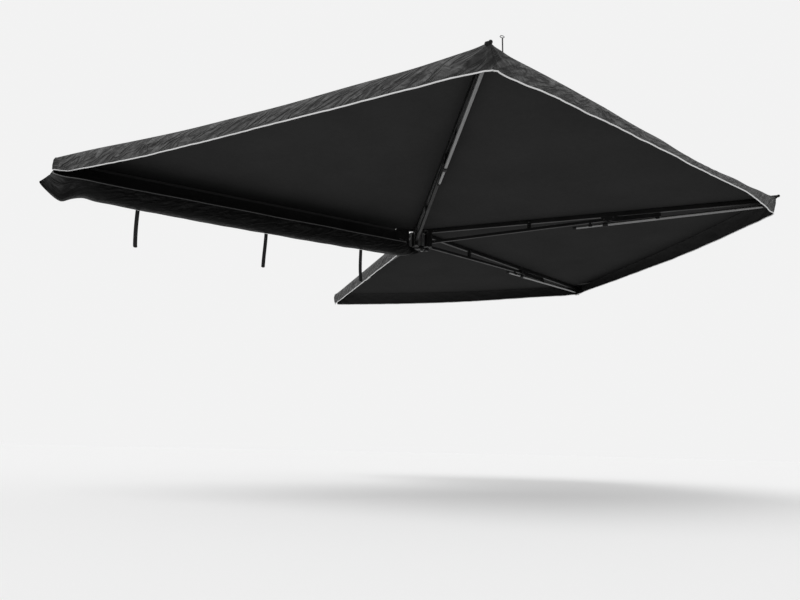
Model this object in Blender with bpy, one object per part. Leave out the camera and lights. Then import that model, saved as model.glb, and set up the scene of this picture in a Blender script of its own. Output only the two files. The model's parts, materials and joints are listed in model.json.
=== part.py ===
"""Free-standing vehicle side awning: four arms on one hub, stowed legs, canopy gores and an open travel bag.

Metres, +Z up. The origin is the middle of the rear mounting bracket's foot, on its underside.
+X runs along the vehicle from the canopy's front corner to the hub, and -Y points away from the vehicle.
Every arm is modelled in its own frame: +X along the arm from the hub axis, +Y towards the next arm.
Heights in the awning and arm frames are counted from the level on which the canopy lies.
"""

import math

import bmesh
import bpy
from mathutils import Matrix, Vector

# Driving dimensions
HUB = Vector((0.450, -0.148, 0.070))  # the hub axis, at the level on which the canopy lies
ARM_COUNT = 4
ARM_REACH = 2.500  # hub axis to a canopy corner
TIP_STEP = math.radians(65.5)  # between one canopy corner and the next, seen from the hub
LANE_PITCH = 0.036  # between arms lying folded side by side
FRONT_REACH = 2.640  # hub axis to the canopy's front corner
EDGE_START = 0.206  # hub axis to the near end of the canopy's edge along the channel
CANOPY_EDGE_Y = 0.0775  # that edge
VALANCE_DROP = 0.110
FRONT_TAPER = (0.032, 0.150)  # by how much, and over what length, the valance narrows to the front corner
FIT = 0.0003  # gap between touching pieces

# Backing channel, an aluminium extrusion
CHANNEL_FRONT = 0.080
CHANNEL_BACK = 0.108
CHANNEL_TOP = -0.005
CHANNEL_BASE = -0.135
CHANNEL_REAR_END = -0.100
CHANNEL_LENGTH = 2.500
SLOT_HEIGHTS = (-0.107, -0.035)
MIDDLE_CHAMBER = ((0.0822, 0.1058), (-0.0965, -0.0455))  # limits across and up
SIDE_CHAMBERS = (
    ((0.0915, 0.1058), (-0.1328, -0.1172)),
    ((0.0915, 0.1058), (-0.0248, -0.0072)),
    ((0.0822, 0.0952), (-0.1150, -0.0987)),
    ((0.0822, 0.0952), (-0.0433, -0.0270)),
)
BRACKET_STATIONS = (-0.450, -1.350, -2.250)
BRACKET_NAMES = ("rear", "middle", "front")

# Hub
PIN_RADIUS = 0.008
LEAF_THICKNESS = 0.004
LEAF_STEP = 0.0045
STACK_TOP = -0.0005
STACK_BASE = -0.1495
JAW_THICKNESS = 0.006
JAW_GAP = 0.0015
PLATE_FACE = 0.0737  # the front of the hub bracket's back plate

# Arm
RAFTER_WIDTH = 0.026
RAFTER_HEIGHT = 0.030
RAFTER_TOP = -0.002
RAFTER_WALL = 0.002
RAFTER_START = 0.089
RAFTER_END = 2.435
POST_START = 0.060
POST_END = 0.088
STRUT_SIZE = 0.022
STRUT_WALL = 0.002
STRUT_START = Vector((0.092, 0, -0.108))
STRUT_END = Vector((1.425, 0, -0.051))
SPACER_STATIONS = (0.624, 0.859, 0.624, 0.859)  # staggered, so that folded arms lie close
CRADLE_STATION = 1.768
STRUT_CLIP_STATION = 1.306
POST_STATION = 2.468
KNOB_STATION = 2.530
KNOB_HEIGHT = 0.0055
KNOB_RISE = 0.45  # radians up from level
KNOB_TURNS = (1.45, 0.0, 0.0, 0.0)  # radians to the side, as each arm's knob was left
PIN_TAB = (0.0085, 0.0115)  # the tab that the ring pin stands on, from its underside to its top
PIN_PLACE = (2.436, 0.087)  # along the first arm and to its side

# Telescopic leg, lengths counted from its pivot
LEG_PIVOT = Vector((2.455, 0, -0.055))
STOW_ANGLE = math.radians(88.2)  # from hanging straight down to lying stowed under the arm
TUBE_RADIUS = 0.011
TUBE_END = 1.040
INNER_RADIUS = 0.0092
INNER_START = 0.060
INNER_END = 1.266
FOOT_END = 1.276

# Cloth
SHEET = 0.002
CANOPY_LEVEL = 0.0006
GORE_SAG = 0.026
EDGE_SAG = 0.012
VALANCE_FOLDS = 9
FOLD_DEPTH = 0.005
BAG_WALL = 0.003
BAG_REAR = -0.130
BAG_FRONT = -2.690
STRAP_STATIONS = (-2.145, -1.300, -0.568)
STRAP_LENGTH = 0.245
STRAP_WIDTH = 0.025

# Finishes: colour, roughness, metallic
BLACK_COAT = ((0.012, 0.012, 0.013), 0.45, 0.0)
BLACK_ALUMINIUM = ((0.012, 0.012, 0.013), 0.40, 0.0)
BARE_ALUMINIUM = ((0.62, 0.62, 0.63), 0.32, 1.0)
ZINC = ((0.55, 0.55, 0.56), 0.35, 1.0)
RUBBER = ((0.012, 0.012, 0.012), 0.75, 0.0)
NYLON = ((0.014, 0.014, 0.015), 0.5, 0.0)
CANVAS = ((0.055, 0.055, 0.058), 0.85, 0.0)
BAG_CLOTH = ((0.018, 0.018, 0.019), 0.7, 0.0)
WEBBING = ((0.008, 0.008, 0.008), 0.85, 0.0)


def lane_offset(arm):
    """How far an arm's centre line stands to the side of the hub axis."""
    return (arm - (ARM_COUNT + 1) / 2) * LANE_PITCH


def arm_angle(arm):
    """An arm's turn from the channel's direction, with its corner on the even tip spacing."""
    return arm * TIP_STEP - math.asin(lane_offset(arm) / ARM_REACH)


def arm_frame(arm):
    return Matrix.Rotation(math.pi + arm_angle(arm), 4, "Z")


def leg_height(station):
    """The height of the stowed leg's axis at a distance along the arm."""
    return LEG_PIVOT.z - (LEG_PIVOT.x - station) / math.tan(STOW_ANGLE)


def strut_height(station):
    share = (station - STRUT_START.x) / (STRUT_END.x - STRUT_START.x)
    return STRUT_START.z + share * (STRUT_END.z - STRUT_START.z)


# Shape helpers

def outline(corners, steps=3):
    """A closed outline from (x, y) or (x, y, radius) corners, each radius made an arc."""
    points = []
    for index, corner in enumerate(corners):
        here = Vector(corner[:2])
        radius = corner[2] if len(corner) > 2 else 0
        if not radius:
            points.append(here)
            continue
        back = (Vector(corners[index - 1][:2]) - here).normalized()
        ahead = (Vector(corners[(index + 1) % len(corners)][:2]) - here).normalized()
        half = back.angle(ahead) / 2
        centre = here + (back + ahead).normalized() * radius / math.sin(half)
        first = here + back * radius / math.tan(half) - centre
        last = here + ahead * radius / math.tan(half) - centre
        start = math.atan2(first.y, first.x)
        sweep = math.remainder(math.atan2(last.y, last.x) - start, math.tau)
        for step in range(steps + 1):
            angle = start + sweep * step / steps
            points.append(centre + radius * Vector((math.cos(angle), math.sin(angle))))
    return points


def rectangle(width, height, radius=0.0, steps=2):
    x = width / 2
    y = height / 2
    return outline([(x, y, radius), (-x, y, radius), (-x, -y, radius), (x, -y, radius)], steps)


def within(limits, clear=0.0):
    """A rounded rectangle between pairs of limits, standing clear of them."""
    (left, right), (low, high) = limits
    shape = rectangle(right - left - 2 * clear, high - low - 2 * clear, 0.002)
    return shifted(shape, ((left + right) / 2, (low + high) / 2))


def circle(radius, sides):
    turns = [math.tau * side / sides for side in range(sides)]
    return [Vector((radius * math.cos(turn), radius * math.sin(turn))) for turn in turns]


def half_circle(radius, start, steps=8):
    """Half a circle's points, from the start angle on."""
    turns = [start + math.pi * step / steps for step in range(steps + 1)]
    return [Vector((radius * math.cos(turn), radius * math.sin(turn))) for turn in turns]


def shifted(points, offset):
    return [point + Vector(offset) for point in points]


def mesh_from(bm, name):
    bmesh.ops.recalc_face_normals(bm, faces=bm.faces[:])
    mesh = bpy.data.meshes.new(name)
    bm.to_mesh(mesh)
    bm.free()
    return mesh


def push(bm, faces, vector):
    raised = bmesh.ops.extrude_face_region(bm, geom=faces)["geom"]
    verts = [item for item in raised if isinstance(item, bmesh.types.BMVert)]
    bmesh.ops.translate(bm, verts=verts, vec=vector)


def along_z(points, low, high):
    """A prism with its outline in XY."""
    bm = bmesh.new()
    face = bm.faces.new([bm.verts.new((x, y, low)) for x, y in points])
    push(bm, [face], (0, 0, high - low))
    return mesh_from(bm, "prism")


def along_x(points, low, high):
    """A prism with its outline in YZ."""
    bm = bmesh.new()
    face = bm.faces.new([bm.verts.new((low, y, z)) for y, z in points])
    push(bm, [face], (high - low, 0, 0))
    return mesh_from(bm, "prism")


def along_y(points, low, high):
    """A prism with its outline in XZ."""
    bm = bmesh.new()
    face = bm.faces.new([bm.verts.new((x, low, z)) for x, z in points])
    push(bm, [face], (0, high - low, 0))
    return mesh_from(bm, "prism")


def hollow_along_x(outer, inner, low, high):
    """A tube of any section, its two outlines in YZ with the same number of points."""
    bm = bmesh.new()
    edges = []
    for points in (outer, inner):
        ring = [bm.verts.new((low, y, z)) for y, z in points]
        edges += [bm.edges.new(pair) for pair in zip(ring, ring[1:] + ring[:1])]
    wall = bmesh.ops.bridge_loops(bm, edges=edges)["faces"]
    push(bm, wall, (high - low, 0, 0))
    return mesh_from(bm, "tube")


def block(x, y, z, radius=0.0):
    """A box between pairs of limits, its upright edges rounded."""
    middle = ((x[0] + x[1]) / 2, (y[0] + y[1]) / 2)
    shape = rectangle(x[1] - x[0], y[1] - y[0], radius)
    return along_z(shifted(shape, middle), z[0], z[1])


def turned(profile, sides, closed):
    """A round piece about Z from (radius, height) points; an open profile starts and ends on the axis."""
    bm = bmesh.new()
    verts = [bm.verts.new((radius, 0, height)) for radius, height in profile]
    pairs = list(zip(verts, verts[1:]))
    if closed:
        pairs.append((verts[-1], verts[0]))
    edges = [bm.edges.new(pair) for pair in pairs]
    bmesh.ops.spin(
        bm, geom=verts + edges, cent=(0, 0, 0), axis=(0, 0, 1), dvec=(0, 0, 0),
        angle=math.tau, steps=sides, use_merge=True, use_duplicate=False,
    )
    bmesh.ops.remove_doubles(bm, verts=bm.verts[:], dist=1e-6)
    return mesh_from(bm, "turned")


def moved(mesh, matrix):
    mesh.transform(matrix)
    return mesh


def link(name, data):
    obj = bpy.data.objects.new(name, data)
    bpy.context.scene.collection.objects.link(obj)
    return obj


def cutter(name, mesh, parent=None):
    tool = link(name, mesh)
    tool.parent = parent
    tool.hide_render = True
    tool.display_type = "WIRE"
    return tool


def combine(obj, tool, operation):
    modifier = obj.modifiers.new(operation.title(), "BOOLEAN")
    modifier.operation = operation
    modifier.solver = "EXACT"
    modifier.object = tool


def combined(adds, cuts=()):
    """One solid from overlapping meshes, less the meshes that cut it."""
    base = link("base", adds[0])
    tools = []
    for operation, meshes in (("UNION", adds[1:]), ("DIFFERENCE", cuts)):
        for mesh in meshes:
            tool = cutter("tool", mesh)
            combine(base, tool, operation)
            tools.append(tool)
    bpy.context.view_layer.update()
    ready = base.evaluated_get(bpy.context.evaluated_depsgraph_get())
    mesh = bpy.data.meshes.new_from_object(ready)
    for obj in [base] + tools:
        bpy.data.objects.remove(obj, do_unlink=True)
    return mesh


def piece(name, mesh, finish, parent, location=(0, 0, 0)):
    """A named object with its own material, its round faces shaded smooth."""
    obj = link(name, mesh)
    obj.parent = parent
    obj.location = location
    colour, roughness, metallic = finish
    material = bpy.data.materials.new(name + "_finish")
    material.use_nodes = True
    shader = material.node_tree.nodes["Principled BSDF"]
    shader.inputs["Base Color"].default_value = (*colour, 1)
    shader.inputs["Roughness"].default_value = roughness
    shader.inputs["Metallic"].default_value = metallic
    mesh.shade_smooth()
    mesh.set_sharp_from_angle(angle=math.radians(35))
    obj.data.materials.clear()
    obj.data.materials.append(material)
    return obj


def empty(name, parent, location=(0, 0, 0), rotation=(0, 0, 0)):
    obj = link(name, None)
    obj.parent = parent
    obj.location = location
    obj.rotation_euler = rotation
    return obj


def sheet(name, rows, thickness, finish, parent):
    """A cloth solid; its thickness is on the side given by the rows' direction crossed with the columns'."""
    bm = bmesh.new()
    grid = [[bm.verts.new(point) for point in row] for row in rows]
    for near, far in zip(grid, grid[1:]):
        for index in range(len(near) - 1):
            bm.faces.new((near[index], far[index], far[index + 1], near[index + 1]))
    mesh = bpy.data.meshes.new(name)
    bm.to_mesh(mesh)
    bm.free()
    obj = piece(name, mesh, finish, parent)
    wall = obj.modifiers.new("Thickness", "SOLIDIFY")
    wall.thickness = thickness
    wall.offset = 1
    wall.use_even_offset = True
    return obj


# Vehicle side

def backing_channel(awning):
    slot_lip = 0.0025
    slot_mouth = 0.0042
    slot_half = 0.008
    slot_depth = 0.0075
    corner = 0.003
    shape = [(CHANNEL_FRONT, CHANNEL_BASE, corner), (CHANNEL_BACK, CHANNEL_BASE, corner)]
    for height in SLOT_HEIGHTS:
        inner = CHANNEL_BACK - slot_lip
        shape += [
            (CHANNEL_BACK, height - slot_mouth),
            (inner, height - slot_mouth),
            (inner, height - slot_half),
            (inner - slot_depth, height - slot_half),
            (inner - slot_depth, height + slot_half),
            (inner, height + slot_half),
            (inner, height + slot_mouth),
            (CHANNEL_BACK, height + slot_mouth),
        ]
    shape += [(CHANNEL_BACK, CHANNEL_TOP, corner), (CHANNEL_FRONT, CHANNEL_TOP, corner)]
    low = CHANNEL_REAR_END - CHANNEL_LENGTH
    body = along_x(outline(shape), low, CHANNEL_REAR_END)
    past = 0.01
    ends = (low - past, CHANNEL_REAR_END + past)
    cuts = [along_x(within(limits), *ends) for limits in (MIDDLE_CHAMBER, *SIDE_CHAMBERS)]
    bead_centre = CHANNEL_FRONT + 0.0052
    bead_radius = 0.0032
    mouth = rectangle(0.008, 0.0022)
    for height in (CHANNEL_BASE + 0.008, CHANNEL_TOP - 0.008):
        cuts.append(along_x(shifted(circle(bead_radius, 10), (bead_centre, height)), *ends))
        cuts.append(along_x(shifted(mouth, (CHANNEL_FRONT, height)), *ends))
    piece("backing_channel", combined([body], cuts), BLACK_ALUMINIUM, awning)


def channel_end_cap(awning):
    """The plate over the channel's front end, held by a plug in the middle chamber."""
    front_end = CHANNEL_REAR_END - CHANNEL_LENGTH
    middle = ((CHANNEL_FRONT + CHANNEL_BACK) / 2, (CHANNEL_TOP + CHANNEL_BASE) / 2)
    face = rectangle(CHANNEL_BACK - CHANNEL_FRONT, CHANNEL_TOP - CHANNEL_BASE, 0.004)
    plate = along_x(shifted(face, middle), front_end - 0.004, front_end - FIT)
    plug = along_x(within(MIDDLE_CHAMBER, FIT), front_end - 0.002, front_end + 0.014)
    piece("channel_end_cap", combined([plate, plug]), NYLON, awning)


def mounting_bracket(name, station, awning):
    """An angle bracket: its upright is bolted into the channel's upper slot, its foot lies on a rack bar."""
    width = 0.090
    thick = 0.006
    face = CHANNEL_BACK + FIT
    foot = -HUB.z
    top = -0.010
    reach = 2 * (-HUB.y - face)
    half = width / 2
    corner = 0.012
    edge = face + reach
    upright = outline([(-half, foot), (half, foot), (half, top, corner), (-half, top, corner)])
    plate = outline([(-half, face), (half, face), (half, edge, corner), (-half, edge, corner)])
    adds = [along_y(upright, face, face + thick), along_z(plate, foot, foot + thick)]
    for side in (-1, 1):
        gusset_middle = side * (half - thick / 2)
        gusset = [(face + 0.002, foot + 0.002), (face + 0.058, foot + 0.002), (face + 0.002, top - 0.008)]
        adds.append(along_x(gusset, gusset_middle - thick / 2, gusset_middle + thick / 2))
    shank_ends = (0.103, 0.124)
    shank_radius = 0.004
    for side in (-1, 1):
        bolt = (side * 0.024, 0, SLOT_HEIGHTS[1])
        turn = Matrix.Translation(bolt) @ Matrix.Rotation(-math.pi / 2, 4, "X")
        head = along_z(rectangle(0.013, 0.013, 0.001), 0.1012, 0.1052)
        shank = along_z(circle(shank_radius, 10), *shank_ends)
        nut = along_z(circle(0.0072, 6), face + thick - 0.001, face + thick + 0.006)
        adds += [moved(shape, turn) for shape in (head, shank, nut)]
    cuts = []
    for side in (-1, 1):
        slot = shifted(rectangle(0.009, 0.032, 0.0044, 3), (side * 0.022, face + 0.045))
        cuts.append(along_z(slot, foot - 0.01, foot + thick + 0.01))
    piece(name, combined(adds, cuts), BLACK_COAT, awning, (station, 0, 0))


def hub_bracket(awning):
    """A back plate on the channel's face with an upper and a lower jaw that hold the hub pin."""
    front, rear = -0.200, -0.078
    top = STACK_TOP + JAW_GAP + JAW_THICKNESS
    base = STACK_BASE - JAW_GAP - JAW_THICKNESS
    corner = 0.010
    face = outline([(front, base, corner), (rear, base), (rear, top), (front, top, corner)])
    back = CHANNEL_FRONT - FIT
    adds = [along_y(face, PLATE_FACE, back)]
    jaw = outline([
        (rear, back),
        (-0.150, back),
        (-0.050, 0.004, 0.030),
        (-0.014, -0.021, 0.016),
        (0.021, -0.020, 0.018),
        (0.018, 0.024, 0.018),
        (-0.030, 0.045, 0.020),
    ], 4)
    adds.append(along_z(jaw, top - JAW_THICKNESS, top))
    adds.append(along_z(jaw, base, base + JAW_THICKNESS))
    for x in (-0.100, -0.178):
        for z in (-0.012, -0.142):
            turn = Matrix.Translation((x, PLATE_FACE, z)) @ Matrix.Rotation(math.pi / 2, 4, "X")
            adds.append(moved(along_z(circle(0.0075, 6), -0.002, 0.0035), turn))
    bore = along_z(circle(PIN_RADIUS + FIT, 16), base - 0.01, top + 0.01)
    piece("hub_bracket", combined(adds, [bore]), BLACK_COAT, awning)


def hub_fittings(awning):
    jaw_top = STACK_TOP + JAW_GAP + JAW_THICKNESS
    jaw_base = STACK_BASE - JAW_GAP - JAW_THICKNESS
    r = PIN_RADIUS
    end = jaw_base - 0.017
    head = jaw_top + FIT
    pin = [
        (0, head + 0.006), (0.011, head + 0.006), (0.013, head + 0.004), (0.013, head),
        (r, head), (r, end + 0.002), (r - 0.002, end), (0, end),
    ]
    piece("hub_pin", turned(pin, 16, False), ZINC, awning)
    nut = along_z(circle(0.0135, 6), jaw_base - 0.0125, jaw_base - FIT)
    bore = along_z(circle(r + FIT, 16), jaw_base - 0.02, jaw_base + 0.01)
    piece("hub_pin_nut", combined([nut], [bore]), ZINC, awning)
    stack = (ARM_COUNT - 1) * LEAF_STEP + LEAF_THICKNESS + 0.0005
    low = STACK_BASE + stack
    high = STACK_TOP - stack
    bush = r + FIT
    sleeve = [(bush, low), (0.0125, low), (0.0125, high), (bush, high)]
    piece("hub_sleeve", turned(sleeve, 16, True), ZINC, awning)
    radius = 0.105
    level = jaw_top + 0.0085
    dome = [
        (0, level + 0.004), (radius * 0.6, level + 0.0035), (radius, level + 0.002),
        (radius, level), (radius * 0.6, level + 0.0015), (0, level + 0.002),
    ]
    piece("apex_patch", turned(dome, 24, False), CANVAS, awning)


# Travel bag and straps

def bag_profile(share):
    """The bag's section from the channel round to the lip; share runs from the front end to the hub."""
    sag = 0.024 * math.sin(math.pi * (0.12 + 0.8 * share))
    return [
        (0.0950, CHANNEL_BASE - 0.003),
        (0.0975, -0.187 - 0.3 * sag),
        (0.0750, -0.212 - 0.6 * sag),
        (0.0000, -0.238 - 0.8 * sag),
        (-0.0800, -0.256 - sag),
        (-0.1250, -0.259 - sag),
        (-0.1500, -0.241 - sag),
        (-0.1540, -0.207 - 0.5 * sag),
        (-0.1500, -0.176),
    ]


def bag_base(station):
    """The height of the bag's underside where the straps hang."""
    share = (station - BAG_FRONT) / (BAG_REAR - BAG_FRONT)
    rows = bag_profile(share)
    (y0, z0), (y1, z1) = rows[3], rows[4]
    return z0 + (z1 - z0) * (-0.060 - y0) / (y1 - y0)


def travel_bag(awning):
    stations = 9
    bm = bmesh.new()
    rows = []
    for step in range(stations):
        share = step / (stations - 1)
        x = BAG_FRONT + share * (BAG_REAR - BAG_FRONT)
        rows.append([bm.verts.new((x, y, z)) for y, z in bag_profile(share)])
    for near, far in zip(rows, rows[1:]):
        for index in range(len(near) - 1):
            bm.faces.new((near[index], far[index], far[index + 1], near[index + 1]))
    for row in (rows[0], rows[-1]):
        x = row[0].co.x
        bm.faces.new(row + [bm.verts.new((x, -0.110, -0.188)), bm.verts.new((x, 0.080, -0.170))])
    bmesh.ops.recalc_face_normals(bm, faces=bm.faces[:])
    mesh = bpy.data.meshes.new("travel_bag")
    bm.to_mesh(mesh)
    bm.free()
    obj = piece("travel_bag", mesh, BAG_CLOTH, awning)
    wall = obj.modifiers.new("Cloth", "SOLIDIFY")
    wall.thickness = BAG_WALL
    wall.offset = 0
    wall.use_even_offset = True


def closure_straps(awning):
    for number, station in enumerate(STRAP_STATIONS, 1):
        top = bag_base(station) - BAG_WALL / 2 - 0.0015
        rows = []
        steps = 8
        for step in range(steps + 1):
            share = step / steps
            y = -0.060 + 0.012 * math.sin(math.pi * share) * share
            z = top - STRAP_LENGTH * share
            rows.append([(station - STRAP_WIDTH / 2, y, z), (station + STRAP_WIDTH / 2, y, z)])
        sheet(f"closure_strap_{number}", rows, 0.0015, WEBBING, awning)


# Arms

def root_bracket(arm):
    """The post that carries rafter and strut, with one knuckle leaf above and one below on the hub pin."""
    offset = lane_offset(arm)
    side = math.copysign(1, offset)
    half = RAFTER_WIDTH / 2
    eye = 0.016
    near = abs(offset) - half + 0.0006
    far = abs(offset) + half - 0.0006
    inner_corner = min(0.010, near * 0.8)
    root = POST_START + 0.004
    arc = [(x, -y) for x, y in half_circle(eye, 0)]
    corners = arc + [(-eye, far, 0.012), (root, far), (root, near), (eye, near, inner_corner)]
    leaf = [Vector((x, side * y)) for x, y in outline(corners)]
    upper = STACK_TOP - (arm - 1) * LEAF_STEP
    lower = STACK_BASE + (arm - 1) * LEAF_STEP
    across = (offset - half, offset + half)
    post = block((POST_START, POST_END), across, (STACK_BASE, STACK_TOP), 0.004)
    spigot = rafter_plug(offset, POST_END - 0.004, POST_END + 0.050)
    strut_bore = STRUT_SIZE - 2 * (STRUT_WALL + FIT)
    strut_spigot = along_x(rectangle(strut_bore, strut_bore, 0.002), -0.012, 0.040)
    moved(strut_spigot, Matrix.Translation((0, offset, 0)) @ strut_frame())
    adds = [
        post, spigot, strut_spigot,
        along_z(leaf, upper - LEAF_THICKNESS, upper),
        along_z(leaf, lower, lower + LEAF_THICKNESS),
    ]
    bore = along_z(circle(PIN_RADIUS + FIT, 16), STACK_BASE - 0.01, STACK_TOP + 0.01)
    return combined(adds, [bore])


def rafter_plug(offset, low, high):
    """A block that fits inside the rafter's end."""
    clear = 2 * (RAFTER_WALL + FIT)
    section = rectangle(RAFTER_WIDTH - clear, RAFTER_HEIGHT - clear, 0.002)
    return along_x(shifted(section, (offset, RAFTER_TOP - RAFTER_HEIGHT / 2)), low, high)


def strut_frame():
    """From a strut lying along X at the origin to its place under the rafter."""
    run = STRUT_END - STRUT_START
    return Matrix.Translation(STRUT_START) @ Matrix.Rotation(-math.atan2(run.z, run.x), 4, "Y")


def rafter():
    walls = 2 * RAFTER_WALL
    middle = (0, RAFTER_TOP - RAFTER_HEIGHT / 2)
    outer = shifted(rectangle(RAFTER_WIDTH, RAFTER_HEIGHT, 0.003), middle)
    inner = shifted(rectangle(RAFTER_WIDTH - walls, RAFTER_HEIGHT - walls, 0.0015), middle)
    return hollow_along_x(outer, inner, RAFTER_START, RAFTER_END)


def leg_clip(station, radius, stem_top, stem_half):
    """A spring clip, open downwards, over the stowed leg, and the stem that carries it."""
    centre = leg_height(station)
    length = (station - 0.013, station + 0.013)
    gap = radius + 0.0006
    wall = 0.0025
    roof = centre + radius + 0.0020
    cheek_height = (centre - 0.006, roof + 0.001)
    return [
        block(length, (-gap - wall, gap + wall), (roof, roof + wall)),
        block(length, (gap, gap + wall), cheek_height),
        block(length, (-gap - wall, -gap), cheek_height),
        block((station - 0.008, station + 0.008), (-stem_half, stem_half), (roof + 0.001, stem_top)),
    ]


def strut(arm):
    """The lower tube, with the spacer that it carries the rafter on and a clip for the stowed leg."""
    bore = STRUT_SIZE - 2 * STRUT_WALL
    length = (STRUT_END - STRUT_START).length
    tube = hollow_along_x(rectangle(STRUT_SIZE, STRUT_SIZE, 0.003), rectangle(bore, bore, 0.0015), 0, length)
    moved(tube, strut_frame())
    station = SPACER_STATIONS[arm - 1]
    stations = (station - 0.014, station + 0.014)
    under = RAFTER_TOP - RAFTER_HEIGHT - FIT
    cheek = RAFTER_WIDTH / 2 + FIT
    outside = cheek + 0.003
    strut_top = strut_height(station) + STRUT_SIZE / 2
    adds = [
        tube,
        block(stations, (-0.008, 0.008), (strut_top - 0.0015, under - 0.002)),
        block(stations, (-outside, outside), (under - 0.004, under)),
        block(stations, (cheek, outside), (under - 0.002, under + 0.020)),
        block(stations, (-outside, -cheek), (under - 0.002, under + 0.020)),
    ]
    below = strut_height(STRUT_CLIP_STATION) - STRUT_SIZE / 2
    adds += leg_clip(STRUT_CLIP_STATION, INNER_RADIUS, below + 0.0016, 0.005)
    return combined(adds)


def strut_bracket():
    """Cheeks that hold the strut's end under the rafter, and the tapered carrier out to the leg's cradle."""
    under = RAFTER_TOP - RAFTER_HEIGHT - FIT
    inner = STRUT_SIZE / 2 + 0.0004
    outer = inner + 0.0025
    start, stop = 1.383, 1.500
    base = -0.0655
    corner = 0.006
    cheek = outline([
        (start, under),
        (stop, under),
        (stop, -0.050, corner),
        (1.440, base, corner),
        (start + 0.010, base, corner),
    ])
    edge = CRADLE_STATION + 0.025
    clear = TUBE_RADIUS + 0.003
    web = [
        (1.436, under - 0.001),
        (edge, under - 0.001),
        (edge, leg_height(edge) + clear),
        (1.490, leg_height(1.490) + clear),
        (1.436, -0.0600),
    ]
    adds = [
        block((start, stop), (-outer, outer), (under - 0.003, under)),
        along_y(cheek, inner, outer),
        along_y(cheek, -outer, -inner),
        along_y(web, -0.002, 0.002),
    ]
    adds += leg_clip(CRADLE_STATION, TUBE_RADIUS, under - 0.002, 0.006)
    return combined(adds)


def tip_fitting(arm):
    """The arm's end: a plug in the rafter, a post and bar with the corner knob, and the leg's clevis."""
    half = RAFTER_WIDTH / 2
    base = RAFTER_TOP - RAFTER_HEIGHT
    plug = rafter_plug(0, RAFTER_END - 0.040, RAFTER_END + 0.004)
    start = RAFTER_END + FIT
    stop = 2.487
    face = outline([(start, -half), (stop, -half, 0.011), (stop, half, 0.011), (start, half)])
    body = along_z(face, base - 0.002, RAFTER_TOP)
    bar = (0.0065, 0.0145)
    post = turned([(0, bar[1]), (0.0090, bar[1]), (0.0090, -0.0060), (0, -0.0060)], 14, False)
    moved(post, Matrix.Translation((POST_STATION, 0, 0)))
    bar_half = 0.0065
    bar_shape = outline([
        (POST_STATION - 0.009, -bar_half, 0.006),
        (KNOB_STATION, -bar_half, 0.004),
        (KNOB_STATION, bar_half, 0.004),
        (POST_STATION - 0.009, bar_half, 0.006),
    ], 3)
    knob = turned([
        (0, 0.0195), (0.0060, 0.0175), (0.0095, 0.0125), (0.0100, 0.0085), (0.0075, 0.0030),
        (0.0075, -0.0030), (0.0100, -0.0085), (0.0095, -0.0125), (0.0060, -0.0175), (0, -0.0195),
    ], 14, False)
    moved(knob, Matrix.Translation((KNOB_STATION, 0, KNOB_HEIGHT))
          @ Matrix.Rotation(KNOB_TURNS[arm - 1], 4, "Z")
          @ Matrix.Rotation(math.pi / 2 - KNOB_RISE, 4, "Y"))
    lug_radius = 0.013
    lug = shifted(half_circle(lug_radius, math.pi), (LEG_PIVOT.x, LEG_PIVOT.z))
    lug += [(LEG_PIVOT.x + lug_radius, base), (LEG_PIVOT.x - lug_radius, base)]
    inner, outer = 0.0076, 0.0110
    pin = along_z(circle(0.004, 12), 0.0005 - outer, outer - 0.0005)
    moved(pin, Matrix.Translation(LEG_PIVOT) @ Matrix.Rotation(math.pi / 2, 4, "X"))
    adds = [plug, body, post, along_z(bar_shape, *bar), knob]
    adds += [along_y(lug, inner, outer), along_y(lug, -outer, -inner), pin]
    if arm == 1:
        tab = outline([
            (2.476, 0.000),
            (2.457, 0.024),
            (2.443, 0.095, 0.006),
            (2.428, 0.093, 0.006),
            (2.443, 0.020),
            (2.459, -0.003),
        ])
        adds.append(along_z(tab, *PIN_TAB))
    return combined(adds)


def ring_pin(parent, offset):
    """The pin with an eye for its head that stands on the first corner's tab."""
    foot = PIN_TAB[1] + FIT
    collar = foot + 0.003
    rod_radius = 0.0032
    collar_radius = 0.0060
    top = 0.1020
    eye_radius = 0.0098
    eye_lean = -0.5  # radians from upright, back towards the hub
    rod = turned([
        (0, top), (rod_radius, top), (rod_radius, collar), (collar_radius, collar), (collar_radius, foot),
        (0, foot),
    ], 12, False)
    eye = turned(shifted(circle(0.0016, 8), (eye_radius, 0)), 18, True)
    moved(eye, Matrix.Translation((0, 0, top))
          @ Matrix.Rotation(eye_lean, 4, "Y")
          @ Matrix.Translation((0, 0, eye_radius))
          @ Matrix.Rotation(math.pi / 2, 4, "Y"))
    place = (PIN_PLACE[0], offset + PIN_PLACE[1], 0)
    piece("ring_pin", combined([rod, eye]), ZINC, parent, place)


def leg_tube():
    """The outer tube, blind at the top, with a flat eye on the leg's pivot."""
    bore = TUBE_RADIUS - 0.0013
    top, plug = -0.018, -0.030
    tube = turned([
        (0, top), (TUBE_RADIUS, top), (TUBE_RADIUS, -TUBE_END), (bore, -TUBE_END), (bore, plug), (0, plug),
    ], 16, False)
    eye = half_circle(0.0105, 0) + [(-0.0085, top - 0.004), (0.0085, top - 0.004)]
    tongue = along_y(eye, -0.0072, 0.0072)
    pin_hole = moved(along_z(circle(0.0043, 12), -0.02, 0.02), Matrix.Rotation(math.pi / 2, 4, "X"))
    return combined([tube, tongue], [pin_hole])


def lock_collar():
    """The twist lock on the outer tube's open end, with a step that the tube's rim rests on."""
    start = TUBE_END - 0.014
    stop = start + 0.037
    step = TUBE_END + FIT
    wide = TUBE_RADIUS + FIT
    narrow = INNER_RADIUS + FIT
    return turned([
        (wide, -start), (0.0145, -start), (0.0160, -start - 0.003), (0.0160, -stop + 0.009),
        (0.0140, -stop), (narrow, -stop), (narrow, -step), (wide, -step),
    ], 16, True)


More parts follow.
